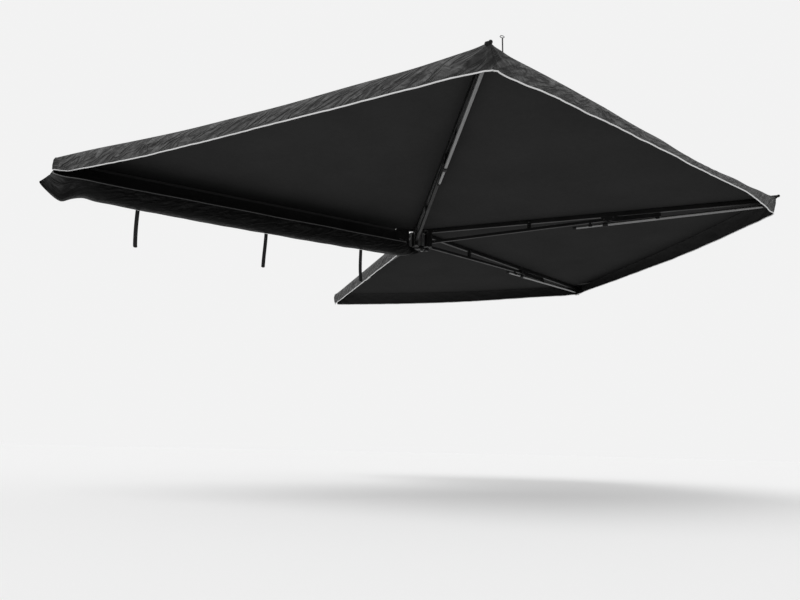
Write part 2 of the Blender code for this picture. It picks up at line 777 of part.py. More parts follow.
def inner_tube():
    bore = INNER_RADIUS - 0.0014
    return turned([
        (INNER_RADIUS, -INNER_START), (INNER_RADIUS, -INNER_END), (bore, -INNER_END), (bore, -INNER_START),
    ], 14, True)


def leg_foot():
    """The rubber foot, a cup over the inner tube's end."""
    mouth = FOOT_END - 0.025
    seat = INNER_END + 0.0005
    bore = INNER_RADIUS + FIT
    return turned([
        (0, -FOOT_END), (0.0085, -FOOT_END), (0.0115, -FOOT_END + 0.003), (0.0120, -FOOT_END + 0.008),
        (0.0115, -mouth), (bore, -mouth), (bore, -seat), (0, -seat),
    ], 14, False)


def make_arm(arm, shared, awning):
    offset = lane_offset(arm)
    side = (0, offset, 0)
    axis = empty(f"arm_{arm}_axis", awning, rotation=(0, 0, math.pi + arm_angle(arm)))
    piece(f"arm_{arm}_root_bracket", root_bracket(arm), BLACK_COAT, axis)
    piece(f"arm_{arm}_rafter", shared["rafter"].copy(), BLACK_ALUMINIUM, axis, side)
    piece(f"arm_{arm}_strut", strut(arm), BLACK_ALUMINIUM, axis, side)
    piece(f"arm_{arm}_strut_bracket", shared["strut_bracket"].copy(), BLACK_ALUMINIUM, axis, side)
    piece(f"arm_{arm}_tip_fitting", tip_fitting(arm), NYLON, axis, side)
    leg = empty(f"leg_{arm}_axis", axis, LEG_PIVOT + Vector(side), (0, STOW_ANGLE, 0))
    piece(f"leg_{arm}_tube", shared["leg_tube"].copy(), BARE_ALUMINIUM, leg)
    piece(f"leg_{arm}_lock_collar", shared["lock_collar"].copy(), NYLON, leg)
    piece(f"leg_{arm}_inner_tube", shared["inner_tube"].copy(), BARE_ALUMINIUM, leg)
    piece(f"leg_{arm}_foot", shared["leg_foot"].copy(), RUBBER, leg)
    if arm == 1:
        ring_pin(axis, offset)


# Canopy

def seam_point(seam, share, side):
    """A point on a seam, from the hub at 0 to the corner at 1; side is -1 or +1 of the seam's middle."""
    if seam == 0:
        x = -EDGE_START - share * (FRONT_REACH - EDGE_START)
        return Vector((x, CANOPY_EDGE_Y, CANOPY_LEVEL))
    offset = lane_offset(seam)
    reach = math.sqrt(ARM_REACH**2 - offset**2)
    along = POST_START + share * (reach - POST_START)
    half_gap = 0.0005
    return arm_frame(seam) @ Vector((along, offset + side * half_gap, CANOPY_LEVEL))


def corner_cutter(arm, awning):
    hole = along_z(circle(0.017, 16), -0.05, 0.05)
    matrix = arm_frame(arm) @ Matrix.Translation((POST_STATION, lane_offset(arm), 0))
    return cutter(f"corner_hole_{arm}", moved(hole, matrix), awning)


def canopy_gore(number, holes, awning):
    """One triangular panel between two seams, sagging between them."""
    across = 8
    rings = 6
    rows = []
    for ring in range(rings + 1):
        share = ring / rings
        first = seam_point(number - 1, share, 1)
        last = seam_point(number, share, -1)
        sag = share**2 * (EDGE_SAG + 6 * GORE_SAG * (1 - share))
        row = []
        for step in range(across + 1):
            part = step / across
            point = first.lerp(last, part)
            point.z -= sag * 4 * part * (1 - part)
            row.append(point)
        rows.append(row)
    obj = sheet(f"canopy_gore_{number}", rows, SHEET, CANVAS, awning)
    for arm in (number - 1, number):
        if arm in holes:
            combine(obj, holes[arm], "DIFFERENCE")


def edge_drop(part):
    """How far the canopy's edge hangs below its corners."""
    return EDGE_SAG * 4 * part * (1 - part)


def edge_valance(number, awning):
    """The hanging strip along one outer edge, its folds growing towards the hem."""
    first = seam_point(number - 1, 1, 1)
    last = seam_point(number, 1, -1)
    run = last - first
    length = run.length
    along = run.normalized()
    out = Vector((along.y, -along.x, 0))
    if out.dot(first) < 0:
        out.negate()
    steps = 4 * VALANCE_FOLDS
    clear = 0.004
    rows = []
    for step in range(steps + 1):
        part = (clear + (length - 2 * clear) * step / steps) / length
        wave = 0.5 - 0.5 * math.cos(math.tau * VALANCE_FOLDS * step / steps)
        drop = VALANCE_DROP
        if number == 1:
            drop -= FRONT_TAPER[0] * max(0, 1 - part * length / FRONT_TAPER[1])
        row = []
        for level in (0, 0.4, 1):
            top = CANOPY_LEVEL + 0.002 - edge_drop(part)
            height = top - (drop + top) * level
            point = first + along * part * length + out * (0.0012 + FOLD_DEPTH * wave * level)
            row.append((point.x, point.y, height))
        rows.insert(0, row)
    sheet(f"edge_valance_{number}", rows, SHEET, CANVAS, awning)


def trailing_valance(awning):
    """The flap along the last arm: over its rafter and down its outer side."""
    arm = ARM_COUNT
    offset = lane_offset(arm)
    turn = arm_frame(arm)
    start = 0.120
    stop = math.sqrt(ARM_REACH**2 - offset**2) - 0.004
    face = 0.0205
    steps = 4 * VALANCE_FOLDS
    rows = []
    for step in range(steps + 1):
        along = start + (stop - start) * step / steps
        wave = 0.5 - 0.5 * math.cos(math.tau * VALANCE_FOLDS * step / steps)
        section = [
            (0.0008, CANOPY_LEVEL),
            (face - 0.0015, CANOPY_LEVEL - 0.0005),
            (face, -0.006),
            (face + FOLD_DEPTH * 0.4 * wave, -0.045),
            (face + FOLD_DEPTH * wave, -VALANCE_DROP),
        ]
        rows.append([turn @ Vector((along, offset + y, z)) for y, z in section])
    return sheet("trailing_valance", rows, SHEET, CANVAS, awning)


def main():
    for obj in list(bpy.data.objects):
        bpy.data.objects.remove(obj, do_unlink=True)
    awning = empty("awning", None, HUB)
    backing_channel(awning)
    channel_end_cap(awning)
    for name, station in zip(BRACKET_NAMES, BRACKET_STATIONS):
        mounting_bracket(f"{name}_mounting_bracket", station, awning)
    hub_bracket(awning)
    hub_fittings(awning)
    travel_bag(awning)
    closure_straps(awning)
    shared = {
        "rafter": rafter(),
        "strut_bracket": strut_bracket(),
        "leg_tube": leg_tube(),
        "lock_collar": lock_collar(),
        "inner_tube": inner_tube(),
        "leg_foot": leg_foot(),
    }
    for arm in range(1, ARM_COUNT + 1):
        make_arm(arm, shared, awning)
    holes = {arm: corner_cutter(arm, awning) for arm in range(1, ARM_COUNT + 1)}
    for number in range(1, ARM_COUNT + 1):
        canopy_gore(number, holes, awning)
        edge_valance(number, awning)
    combine(trailing_valance(awning), holes[ARM_COUNT], "DIFFERENCE")


main()
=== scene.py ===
"""Cloth, webbing, fittings, finishes and stage for a free-standing vehicle side awning.

Metres, +Z up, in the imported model's frame. Arm space has +X along an arm from the hub axis,
+Y towards the next arm, and its origin at the level on which the canopy lies.
Corner 0 is the canopy's front corner by the vehicle, and corner n is at the end of arm n.
"""

import json
import math

import bmesh
import bpy
from mathutils import Matrix, Vector, noise


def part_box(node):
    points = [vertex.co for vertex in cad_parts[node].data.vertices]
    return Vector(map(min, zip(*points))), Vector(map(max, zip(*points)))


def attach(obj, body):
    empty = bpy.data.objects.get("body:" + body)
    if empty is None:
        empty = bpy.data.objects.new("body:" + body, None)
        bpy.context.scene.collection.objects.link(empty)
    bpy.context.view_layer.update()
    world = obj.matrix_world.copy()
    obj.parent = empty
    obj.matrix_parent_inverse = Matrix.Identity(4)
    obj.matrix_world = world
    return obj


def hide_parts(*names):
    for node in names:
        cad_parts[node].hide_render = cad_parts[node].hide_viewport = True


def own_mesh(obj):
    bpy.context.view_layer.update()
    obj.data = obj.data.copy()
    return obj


bl_info = {
    "name": "Vehicle Side Awning",
    "version": (1, 0, 0),
    "blender": (4, 5, 0),
    "location": "3D View > Sidebar > Awning",
    "description": "Cloth, webbing, fittings and finishes for a free-standing side awning",
    "category": "Object",
}

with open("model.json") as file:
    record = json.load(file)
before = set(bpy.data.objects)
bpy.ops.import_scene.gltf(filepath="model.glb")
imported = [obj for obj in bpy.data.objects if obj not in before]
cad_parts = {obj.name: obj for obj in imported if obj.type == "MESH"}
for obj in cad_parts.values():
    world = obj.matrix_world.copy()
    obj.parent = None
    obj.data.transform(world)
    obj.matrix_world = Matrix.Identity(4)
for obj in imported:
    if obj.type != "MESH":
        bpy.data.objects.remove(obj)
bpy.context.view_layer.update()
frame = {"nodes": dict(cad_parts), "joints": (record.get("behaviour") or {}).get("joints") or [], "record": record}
JOINTS = {joint["name"]: joint for joint in frame["joints"]}
HUB = Vector(JOINTS["arm_4_swing"]["pos_m"])

ARM_COUNT = 4
ARM_REACH = 2.500
SEAM_START = 0.060  # hub axis to the inner end of an arm's seam
EDGE_START = 0.206  # hub axis to the inner end of the edge along the channel
FRONT_CORNER = Vector((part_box("canopy_gore_1")[0].x, HUB.y + 0.0775, HUB.z))
CANVAS_TOP = 0.0030  # the canvas's upper face above the level on which it lies
RAFTER_SIDE = 0.013
RAFTER_TOP = -0.002
CORNER_SPREAD = 0.12  # how far from a corner the canvas is lifted
CORNER_RISES = (0.016, 0.012, 0.002, 0.014, 0.002)  # the canvas at each corner, over its level
CORNER_PULLS = (  # how far each corner is drawn out, along the arm and to its side
    (0, 0), (0.020, 0.006), (0.018, 0), (0.008, 0), (0.012, 0.007),
)
HEM_PULLS = ((0, 0), (-0.004, 0.026), (0, 0), (0, 0), (0, 0))  # the same for the hem
PULL_REACH = 0.042  # how far from a corner the canvas is drawn out
HEM_REACH = 0.060
FAN_HEIGHT = 0.0045  # of the folds that spread from a corner
EDGE_RISES = {  # the canvas's outer edge at even steps between the corners, over its level
    1: (0.007, -0.010, -0.023, -0.026, -0.026, -0.017, -0.010),
    2: (
        0.014, 0.016, 0.016, 0.013, 0.010, 0.002, -0.003, -0.004,
        -0.016, -0.022, -0.022, -0.016, -0.006, -0.008, 0.002,
    ),
    3: (-0.006, -0.012, -0.014, -0.012, -0.006, 0.002, 0.010),
    4: (0.008, 0.000, -0.008, -0.012, -0.012, -0.008, -0.003),
}
HEM_ANGLES = {  # radians that the valance leans out, from corner to corner
    1: (0.10, 0.03, 0.07, 0.18, 0.235, 0.255, 0.20, 0.17, 0.00),
    2: (0.00, 0.18, 0.25, 0.37, 0.44, 0.55, 0.54, 0.36, -0.03),
    3: (-0.03, -0.03, -0.08, -0.17, -0.30, -0.38, -0.45, -0.55, -0.58),
    4: (-0.58, -0.52, -0.44, -0.34, -0.25, -0.15, -0.04, 0.05, 0.08),
    5: (0.05, 0.05, 0.05, 0.05, 0.05, 0.05, 0.05, 0.05, 0.05),
}
EDGE_RADIUS = 0.005  # of the valance's turn round a corner, at the canvas's edge
TURN_RADIUS = 0.020  # and at the hem
STAND_OFF = 0.004  # the valance in front of the line from corner to corner
FRONT_TAPER = (0.032, 0.150)  # what the valance loses at its front end, and over which length
VALANCE_LAP = 0.011  # the strip sewn on the canvas, inside the edge
LAP_SHARE = 0.10  # the same as a share of the valance's rows
EDGE_ROLL = 0.0035  # the drop of the canvas's edge as it turns down
STRUT_START = Vector((0.092, 0, -0.108))
STRUT_END = Vector((1.425, 0, -0.051))
SPACER_STATIONS = (0.624, 0.859, 0.624, 0.859)
LEG_PIVOT = Vector((2.455, 0, -0.055))
BAG_FRONT = -2.690
BAG_REAR = -0.130
BAG_GIRTH = 0.46  # from the channel round to the lip
CHANNEL_BASE = -0.135
STRAP_STATIONS = (-2.145, -1.300, -0.568)
STRAP_SWAYS = (0.010, -0.006, 0.012)
STRAP_ROW = -0.060
HEM_STITCHES = (0.014, 0.108)  # rows of stitches, on the cloth's own Y
EDGE_STITCHES = (0.006,)
PATCH_STITCHES = (0.089, 0.097)
TAPE_STITCHES = (0.004, 0.026)
STRAP_STITCHES = (0.003, 0.022)
TAPE_THICKNESS = 0.0008
BEAD_THICKNESS = 0.0012
FLAP_THICKNESS = 0.0014
COVER_THICKNESS = 0.0016
GUSSET_THICKNESS = 0.0016
STRAP_THICKNESS = 0.0017
BINDING_RADIUS = 0.0030
LIP_RADIUS = 0.0034
RIVET_STATIONS = (0.104, 0.126, 2.404, 2.424)  # through the rafter, at its root and its tip
STRUT_RIVET = 0.112  # through the strut, at its root
BRACKET_BOLTS = ((1.403, -0.0520), (1.470, -0.0420))  # station and level
RAFTER_RIVET_HEAD = (0.0042, 0.0016)  # radius and height
STRUT_RIVET_HEAD = (0.0040, 0.0015)
PIVOT_RIVET_HEAD = (0.0062, 0.0026)
BRACKET_BOLT_HEAD = (0.0052, 0.0038)
SPACER_BOLT_HEAD = (0.0048, 0.0034)
UP = Vector((0, 0, 1))

FLOOR_GLOW = 0.40  # the share of the floor's brightness that the awning doesn't shade
KEY_SPREAD = math.radians(50)
KEY_TURN = (math.radians(30), 0, math.radians(-75))
CAMERA_PLACE = Vector((-2.137, -4.501, -1.652))
CAMERA_AZIMUTH = math.radians(-28.84)
CAMERA_ELEVATION = math.radians(12.76)
CAMERA_ROLL = math.radians(1.31)
CAMERA_LENS = 29.63


# Sizes and colours that a user would change

def length_property(name, description, metres):
    return bpy.props.FloatProperty(name=name, description=description, default=metres, unit="LENGTH")


def strength_property(name, description, strength):
    return bpy.props.FloatProperty(name=name, description=description, default=strength)


def colour_property(name, description, grey):
    return bpy.props.FloatVectorProperty(
        name=name, description=description, subtype="COLOR", size=3, min=0, max=1, default=(grey,) * 3
    )


class AwningCloth(bpy.types.PropertyGroup):
    """Sizes of the canopy, its valance and the travel bag"""

    thickness: length_property("Canvas Thickness", "Thickness of the canopy's canvas", 0.0014)
    panel_sag: length_property("Panel Sag", "Sag of a canopy panel between its arms", 0.026)
    ripple: length_property("Ripple", "Height of the slack folds in the canopy", 0.0045)
    valance_drop: length_property("Valance Drop", "Height of the hanging strip round the canopy", 0.118)
    valance_crease: length_property("Valance Crease", "Depth of the valance's slanting creases", 0.0060)
    piping: length_property("Piping Diameter", "Diameter of the piping on the hem", 0.0068)
    bag_thickness: length_property("Bag Thickness", "Thickness of the travel bag's cloth", 0.0018)
    strap_width: length_property("Strap Width", "Width of a closure strap", 0.025)
    strap_length: length_property("Strap Length", "Hanging length of a closure strap", 0.245)


class AwningColours(bpy.types.PropertyGroup):
    """Colours of the cloth and the metal"""

    canvas: colour_property("Canvas", "The canopy's outer face", 0.062)
    lining: colour_property("Lining", "The canopy's coated inner face", 0.0270)
    piping: colour_property("Piping", "The piping on the hem", 0.72)
    bag: colour_property("Bag", "The travel bag's cloth", 0.0075)
    bag_piping: colour_property("Bag Piping", "The binding on the bag's lip", 0.055)
    webbing: colour_property("Webbing", "The closure straps", 0.009)
    coat: colour_property("Black Coat", "Coated tubes and brackets", 0.007)
    nylon: colour_property("Nylon", "Moulded tips, knobs and collars", 0.010)
    rubber: colour_property("Rubber", "Leg feet", 0.012)
    aluminium: colour_property("Aluminium", "The legs' tubes", 0.24)
    zinc: colour_property("Zinc", "Pins, rivets and bolts", 0.16)


class AwningStage(bpy.types.PropertyGroup):
    """Floor, backdrop and light"""

    floor_level: length_property("Floor Level", "Height of the floor", -1.947)
    floor: colour_property("Floor", "The studio floor", 0.88)
    backdrop: colour_property("Backdrop", "What the camera sees behind the awning", 0.89)
    sky: strength_property("Sky", "Strength of the soft light from all round", 0.54)
    key: strength_property("Key", "Strength of the large soft lamp", 1.60)


# Shape helpers

def arm_space(number):
    """From arm space to the row frame."""
    fold = JOINTS[f"leg_{number}_fold"]
    across = -Vector(fold["axis"])
    along = Vector((across.y, -across.x, 0))
    offset = (Vector(fold["pos_m"]) - HUB).dot(across)
    matrix = Matrix((along, across, UP)).transposed().to_4x4()
    matrix.translation = HUB + across * offset
    return matrix


def across_arm(number):
    """The direction across an arm, towards the next one."""
    return arm_space(number).to_3x3() @ Vector((0, 1, 0))


def arm_reach(number):
    """Along an arm's own line, from beside the hub axis to its corner."""
    offset = (arm_space(number).translation - HUB).length
    return math.sqrt(ARM_REACH**2 - offset**2)


def corner(number):
    if number == 0:
        return FRONT_CORNER.copy()
    return arm_space(number) @ Vector((arm_reach(number), 0, 0))


def smooth(value):
    """Eases from 0 to 1 as the value does."""
    value = min(1, max(0, value))
    return value * value * (3 - 2 * value)


def fade(distance, reach):
    """1 at no distance, fading out past the reach."""
    return math.exp(-((distance / reach) ** 2))


def crease(x, y, seed):
    """A height from -1 to 1 with narrow valleys, like slack cloth that has been pulled."""
    return 1 - 2.6 * abs(noise.noise(Vector((x, y, seed))))


def through(points, share):
    """A point on the smooth line through the given points, share going from 0 to 1."""
    place = share * (len(points) - 1)
    index = min(int(place), len(points) - 2)
    part = place - index
    a = points[max(index - 1, 0)]
    b = points[index]
    c = points[index + 1]
    d = points[min(index + 2, len(points) - 1)]
    bend = (2 * a - 5 * b + 4 * c - d) * part**2
    return 0.5 * (2 * b + (c - a) * part + bend + (3 * b - a - 3 * c + d) * part**3)


def surface(columns, rows, size, place):
    """A grid that place(u, v) puts in the row frame; size is the cloth's flat size, for its UV map."""
    bm = bmesh.new()
    bmesh.ops.create_grid(bm, x_segments=columns, y_segments=rows, size=0.5)
    layer = bm.loops.layers.uv.new("Cloth")
    for face in bm.faces:
        for loop in face.loops:
            loop[layer].uv = ((loop.vert.co.x + 0.5) * size[0], (loop.vert.co.y + 0.5) * size[1])
    for vert in bm.verts:
        vert.co = place(vert.co.x + 0.5, vert.co.y + 0.5)
    bm.normal_update()
    return bm


def flat_area(bm):
    return sum(face.calc_area() for face in bm.faces)


def face_towards(bm, direction):
    """Turns the faces over if they look away from the direction on the whole."""
    if sum(face.normal.dot(direction) for face in bm.faces) < 0:
        bmesh.ops.reverse_faces(bm, faces=bm.faces[:])


def add_piece(name, bm, materials, body, thickness=0):
    """Makes a piece of the faces; cloth is given its thickness."""
    mesh = bpy.data.meshes.new(name)
    bm.to_mesh(mesh)
    bm.free()
    piece = add_mesh(name, mesh, materials, body)
    if thickness:
        thicken(piece, thickness)
    return piece


def add_mesh(name, mesh, materials, body):
    """Makes an object of the mesh, finishes it and lets it ride on a body."""
    obj = bpy.data.objects.new(name, mesh)
    bpy.context.scene.collection.objects.link(obj)
    mesh.materials.clear()
    for material in materials:
        mesh.materials.append(material)
    mesh.shade_smooth()
    mesh.set_sharp_from_angle(angle=math.radians(40))
    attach(obj, body)
    return obj


def thicken(obj, thickness):
    """Gives a sheet its thickness behind its face; the back takes the second material, if any."""
    wall = obj.modifiers.new("Thickness", "SOLIDIFY")
    wall.thickness = thickness
    wall.offset = -1
    wall.material_offset = 1 if len(obj.data.materials) > 1 else 0


def add_cord(name, points, radius, finish, body):
    """Makes a round cord along the points."""
    curve = bpy.data.curves.new(name, "CURVE")
    curve.dimensions = "3D"
    curve.bevel_depth = radius
    curve.bevel_resolution = 2
    curve.use_fill_caps = True
    spline = curve.splines.new("POLY")
    spline.points.add(len(points) - 1)
    for spot, point in zip(spline.points, points):
        spot.co = (*point, 1)
    holder = bpy.data.objects.new(name, curve)
    bpy.context.scene.collection.objects.link(holder)
    ready = holder.evaluated_get(bpy.context.evaluated_depsgraph_get())
    mesh = bpy.data.meshes.new_from_object(ready)
    bpy.data.objects.remove(holder, do_unlink=True)
    bpy.data.curves.remove(curve)
    mesh.uv_layers.new(name="Cloth")
    return add_mesh(name, mesh, [named_cloth(finish)], body)


# Shared effects

def new_group(name, inputs, outputs):
    """A shader node group with a Vector and the inputs, {name: default}, and its ends' sockets."""
    group = bpy.data.node_groups.new(name, "ShaderNodeTree")
    group.interface.new_socket(name="Vector", in_out="INPUT", socket_type="NodeSocketVector")
    for label, default in inputs.items():
        socket = group.interface.new_socket(name=label, in_out="INPUT", socket_type="NodeSocketFloat")
        socket.default_value = default
    for label in outputs:
        group.interface.new_socket(name=label, in_out="OUTPUT", socket_type="NodeSocketFloat")
    return group, group.nodes.new("NodeGroupInput").outputs, group.nodes.new("NodeGroupOutput").inputs


def split(tree, vector):
    """The X, Y and Z of a vector."""
    node = tree.nodes.new("ShaderNodeSeparateXYZ")
    tree.links.new(vector, node.inputs[0])
    return node.outputs


def feed(tree, node, values):
    """Gives the node's inputs their values, {input: socket or value}."""
    for label, value in values.items():
        if isinstance(value, bpy.types.NodeSocket):
            tree.links.new(value, node.inputs[label])
        else:
            node.inputs[label].default_value = value


def math_node(tree, operation, *operands):
    """A Math node; each operand is a socket or a number."""
    node = tree.nodes.new("ShaderNodeMath")
    node.operation = operation
    feed(tree, node, dict(enumerate(operands)))
    return node.outputs[0]


def times(tree, first, second):
    return math_node(tree, "MULTIPLY", first, second)


def gap(tree, first, second):
    return math_node(tree, "ABSOLUTE", math_node(tree, "SUBTRACT", first, second))


def ramp_node(tree, value, low, high, to_low=0.0, to_high=1.0):
    """A Map Range node from low..high to to_low..to_high."""
    node = tree.nodes.new("ShaderNodeMapRange")
    limits = {"From Min": low, "From Max": high, "To Min": to_low, "To Max": to_high}
    feed(tree, node, {"Value": value, **limits})
    return node.outputs["Result"]


def noise_node(tree, vector, scale, detail=2.0, roughness=0.5):
    node = tree.nodes.new("ShaderNodeTexNoise")
    feed(tree, node, {"Detail": detail, "Roughness": roughness, "Vector": vector, "Scale": scale})
    return node.outputs["Fac"]


def weave_group():
    """Over-and-under threads; Pitch is the distance from thread to thread."""
    group, given, result = new_group("Weave", {"Pitch": 0.001}, ("Height", "Shade"))
    parts = split(group, given["Vector"])
    waves = []
    for axis in ("X", "Y"):
        turns = math_node(group, "DIVIDE", parts[axis], given["Pitch"])
        waves.append(math_node(group, "SINE", times(group, turns, math.pi)))
    height = ramp_node(group, times(group, *waves), -1, 1)
    group.links.new(height, result["Height"])
    group.links.new(ramp_node(group, height, 0, 1, 0.88, 1.08), result["Shade"])
    return group


def mottle_group():
    """Slow and fine unevenness of a dyed or coated surface, as a factor on its colour."""
    group, given, result = new_group("Mottle", {"Scale": 3.0, "Low": 0.85, "High": 1.15}, ["Factor"])
    slow = noise_node(group, given["Vector"], given["Scale"], 4.0, 0.55)
    fine = noise_node(group, given["Vector"], times(group, given["Scale"], 14.0), 3.0, 0.6)
    mixed = math_node(group, "ADD", times(group, slow, 0.7), times(group, fine, 0.3))
    factor = ramp_node(group, mixed, 0.3, 0.7, given["Low"], given["High"])
    group.links.new(factor, result["Factor"])
    return group


def scuff_group():
    """Thin scratches and rubbed patches, as a mask."""
    group, given, result = new_group("Scuffs", {"Scale": 30.0, "Amount": 0.5}, ["Mask"])
    stretch = group.nodes.new("ShaderNodeVectorMath")
    stretch.operation = "MULTIPLY"
    stretch.inputs[1].default_value = (0.25, 1.0, 2.2)
    group.links.new(given["Vector"], stretch.inputs[0])
    lines = noise_node(group, stretch.outputs[0], given["Scale"], 6.0, 0.7)
    thin = ramp_node(group, gap(group, lines, 0.5), 0.0, 0.012, 1.0, 0.0)
    patches = ramp_node(group, noise_node(group, given["Vector"], 9.0, 3.0), 0.50, 0.68)
    group.links.new(times(group, times(group, thin, patches), given["Amount"]), result["Mask"])
    return group


def grain_group():
    """The fine orange-peel grain of a moulded or coated surface."""
    group, given, result = new_group("Grain", {"Scale": 900.0}, ["Height"])
    group.links.new(noise_node(group, given["Vector"], given["Scale"]), result["Height"])
    return group


def stitch_group():
    """A row of lockstitches along X at the height Row on Y."""
    sizes = {"Row": 0.01, "Pitch": 0.004, "Width": 0.0007}
    group, given, result = new_group("Stitches", sizes, ["Mask"])
    parts = split(group, given["Vector"])
    line = math_node(group, "LESS_THAN", gap(group, parts["Y"], given["Row"]), given["Width"])
    turn = math_node(group, "FRACT", math_node(group, "DIVIDE", parts["X"], given["Pitch"]))
    dash = math_node(group, "LESS_THAN", turn, 0.72)
    group.links.new(times(group, line, dash), result["Mask"])
    return group


def creases_and_painted_shade_group():
    """Slanting folds of slack cloth in two directions as bumps, with painted shade in their narrow valleys and
    painted highlight on their ridges.
    """
    group, given, result = new_group("Creases_Painted_Shade", {"Low": 0.6, "High": 1.3}, ("Height", "Shade"))
    ridges = []
    for angle, size in ((0.45, (0.170, 0.045, 1.0)), (-0.70, (0.150, 0.050, 1.0))):
        turn = group.nodes.new("ShaderNodeMapping")
        turn.vector_type = "TEXTURE"
        feed(group, turn, {"Rotation": (0, 0, angle), "Scale": size, "Vector": given["Vector"]})
        lines = noise_node(group, turn.outputs[0], 1.0)
        lines.node.inputs["Distortion"].default_value = 0.7
        ridges.append(ramp_node(group, gap(group, lines, 0.5), 0.0, 0.16))
    weak = ramp_node(group, ridges[1], 0.0, 1.0, 0.45, 1.0)
    height = times(group, ridges[0], weak)
    group.links.new(height, result["Height"])
    # Shade is painted light and shade: darkest in the valleys, lightest on the ridges
    shade = ramp_node(group, height, 0.05, 0.80, given["Low"], given["High"])
    group.links.new(shade, result["Shade"])
    return group


def painted_fold_band_group():
    """Painted shade of a fold that wanders along a hanging strip, below a painted highlight on a roll; Y runs up
    from the hem.
    """
    group, given, result = new_group("Painted_Fold_Band", {"Height": 0.055}, ["Shade"])
    wander = ramp_node(group, noise_node(group, given["Vector"], 3.0, 3.0), 0.3, 0.7, -0.016, 0.016)
    over = math_node(group, "SUBTRACT", split(group, given["Vector"])["Y"], given["Height"])
    row = math_node(group, "ADD", over, wander)
    fold = ramp_node(group, math_node(group, "ABSOLUTE", row), 0.004, 0.024, 1.0, 0.0)
    amount = ramp_node(group, noise_node(group, given["Vector"], 1.7), 0.38, 0.62, 0.15, 1.0)
    # painted shade along the fold, and painted highlight on the roll above it
    dark = ramp_node(group, times(group, fold, amount), 0.0, 1.0, 1.0, 0.42)
    roll = ramp_node(group, row, 0.014, 0.040, 1.0, 1.30)
    group.links.new(times(group, dark, roll), result["Shade"])
    return group


def puckers_and_painted_shade_group():
    """Short upright puckers that the seam over Y = 0 draws into the cloth, with their light and shade painted into
    Shade; they fade out by Reach.
    """
    group, given, result = new_group("Puckers_Painted_Shade", {"Pitch": 0.010, "Reach": 0.035}, ("Height", "Shade"))
    parts = split(group, given["Vector"])
    drift = times(group, noise_node(group, given["Vector"], 40.0), 9.0)
    turns = times(group, math_node(group, "DIVIDE", parts["X"], given["Pitch"]), 6.283)
    wave = math_node(group, "SINE", math_node(group, "ADD", turns, drift))
    near = ramp_node(group, parts["Y"], 0.0, given["Reach"], 1.0, 0.0)
    height = times(group, wave, near)
    group.links.new(height, result["Height"])
    # Shade paints light on the pucker crests and shade in their hollows
    group.links.new(ramp_node(group, height, -1, 1, 0.74, 1.26), result["Shade"])
    return group


EFFECTS = {
    "Creases_Painted_Shade": creases_and_painted_shade_group,
    "Painted_Fold_Band": painted_fold_band_group,
    "Puckers_Painted_Shade": puckers_and_painted_shade_group,
    "Weave": weave_group,
    "Mottle": mottle_group,
    "Scuffs": scuff_group,
    "Grain": grain_group,
    "Stitches": stitch_group,
}


def effect(tree, name, vector, **values):
    """Places a shared effect in a material with its own values; returns the node."""
    group = bpy.data.node_groups.get(name) or EFFECTS[name]()
    node = tree.nodes.new("ShaderNodeGroup")
    node.node_tree = group
    feed(tree, node, {"Vector": vector, **values})
    return node


# Materials

def start_material(name, roughness, metallic=0.0, specular=0.5):
    material = bpy.data.materials.new(name)
    material.use_nodes = True
    tree = material.node_tree
    shader = tree.nodes["Principled BSDF"]
    feed(tree, shader, {"Roughness": roughness, "Metallic": metallic, "Specular IOR Level": specular})
    return material, tree, shader


def object_vector(tree):
    return tree.nodes.new("ShaderNodeTexCoord").outputs["Object"]


def cloth_vector(tree):
    node = tree.nodes.new("ShaderNodeUVMap")
    node.uv_map = "Cloth"
    return node.outputs["UV"]


def tint(tree, shader, colour, factors):
    """The base colour times the factors that vary over the surface."""
    product = factors[0]
    for factor in factors[1:]:
        product = times(tree, product, factor)
    scale = tree.nodes.new("ShaderNodeVectorMath")
    scale.operation = "SCALE"
    feed(tree, scale, {0: colour, "Scale": product})
    tree.links.new(scale.outputs[0], shader.inputs["Base Color"])
    return scale.outputs[0]


def lighten(tree, shader, base, mask, colour):
    """Mixes a colour over the base where the mask is."""
    mix = tree.nodes.new("ShaderNodeMix")
    mix.data_type = "RGBA"
    feed(tree, mix, {"Factor": mask, "A": base, "B": (*colour, 1)})
    tree.links.new(mix.outputs["Result"], shader.inputs["Base Color"])
    return mix.outputs["Result"]


def bump(tree, shader, layers):
    """Chains bumps, each (height, reach, strength), into the shader's normal."""
    normal = None
    for height, reach, strength in layers:
        node = tree.nodes.new("ShaderNodeBump")
        feed(tree, node, {"Distance": reach, "Strength": strength, "Height": height})
        if normal is not None:
            tree.links.new(normal, node.inputs["Normal"])
        normal = node.outputs["Normal"]
    tree.links.new(normal, shader.inputs["Normal"])


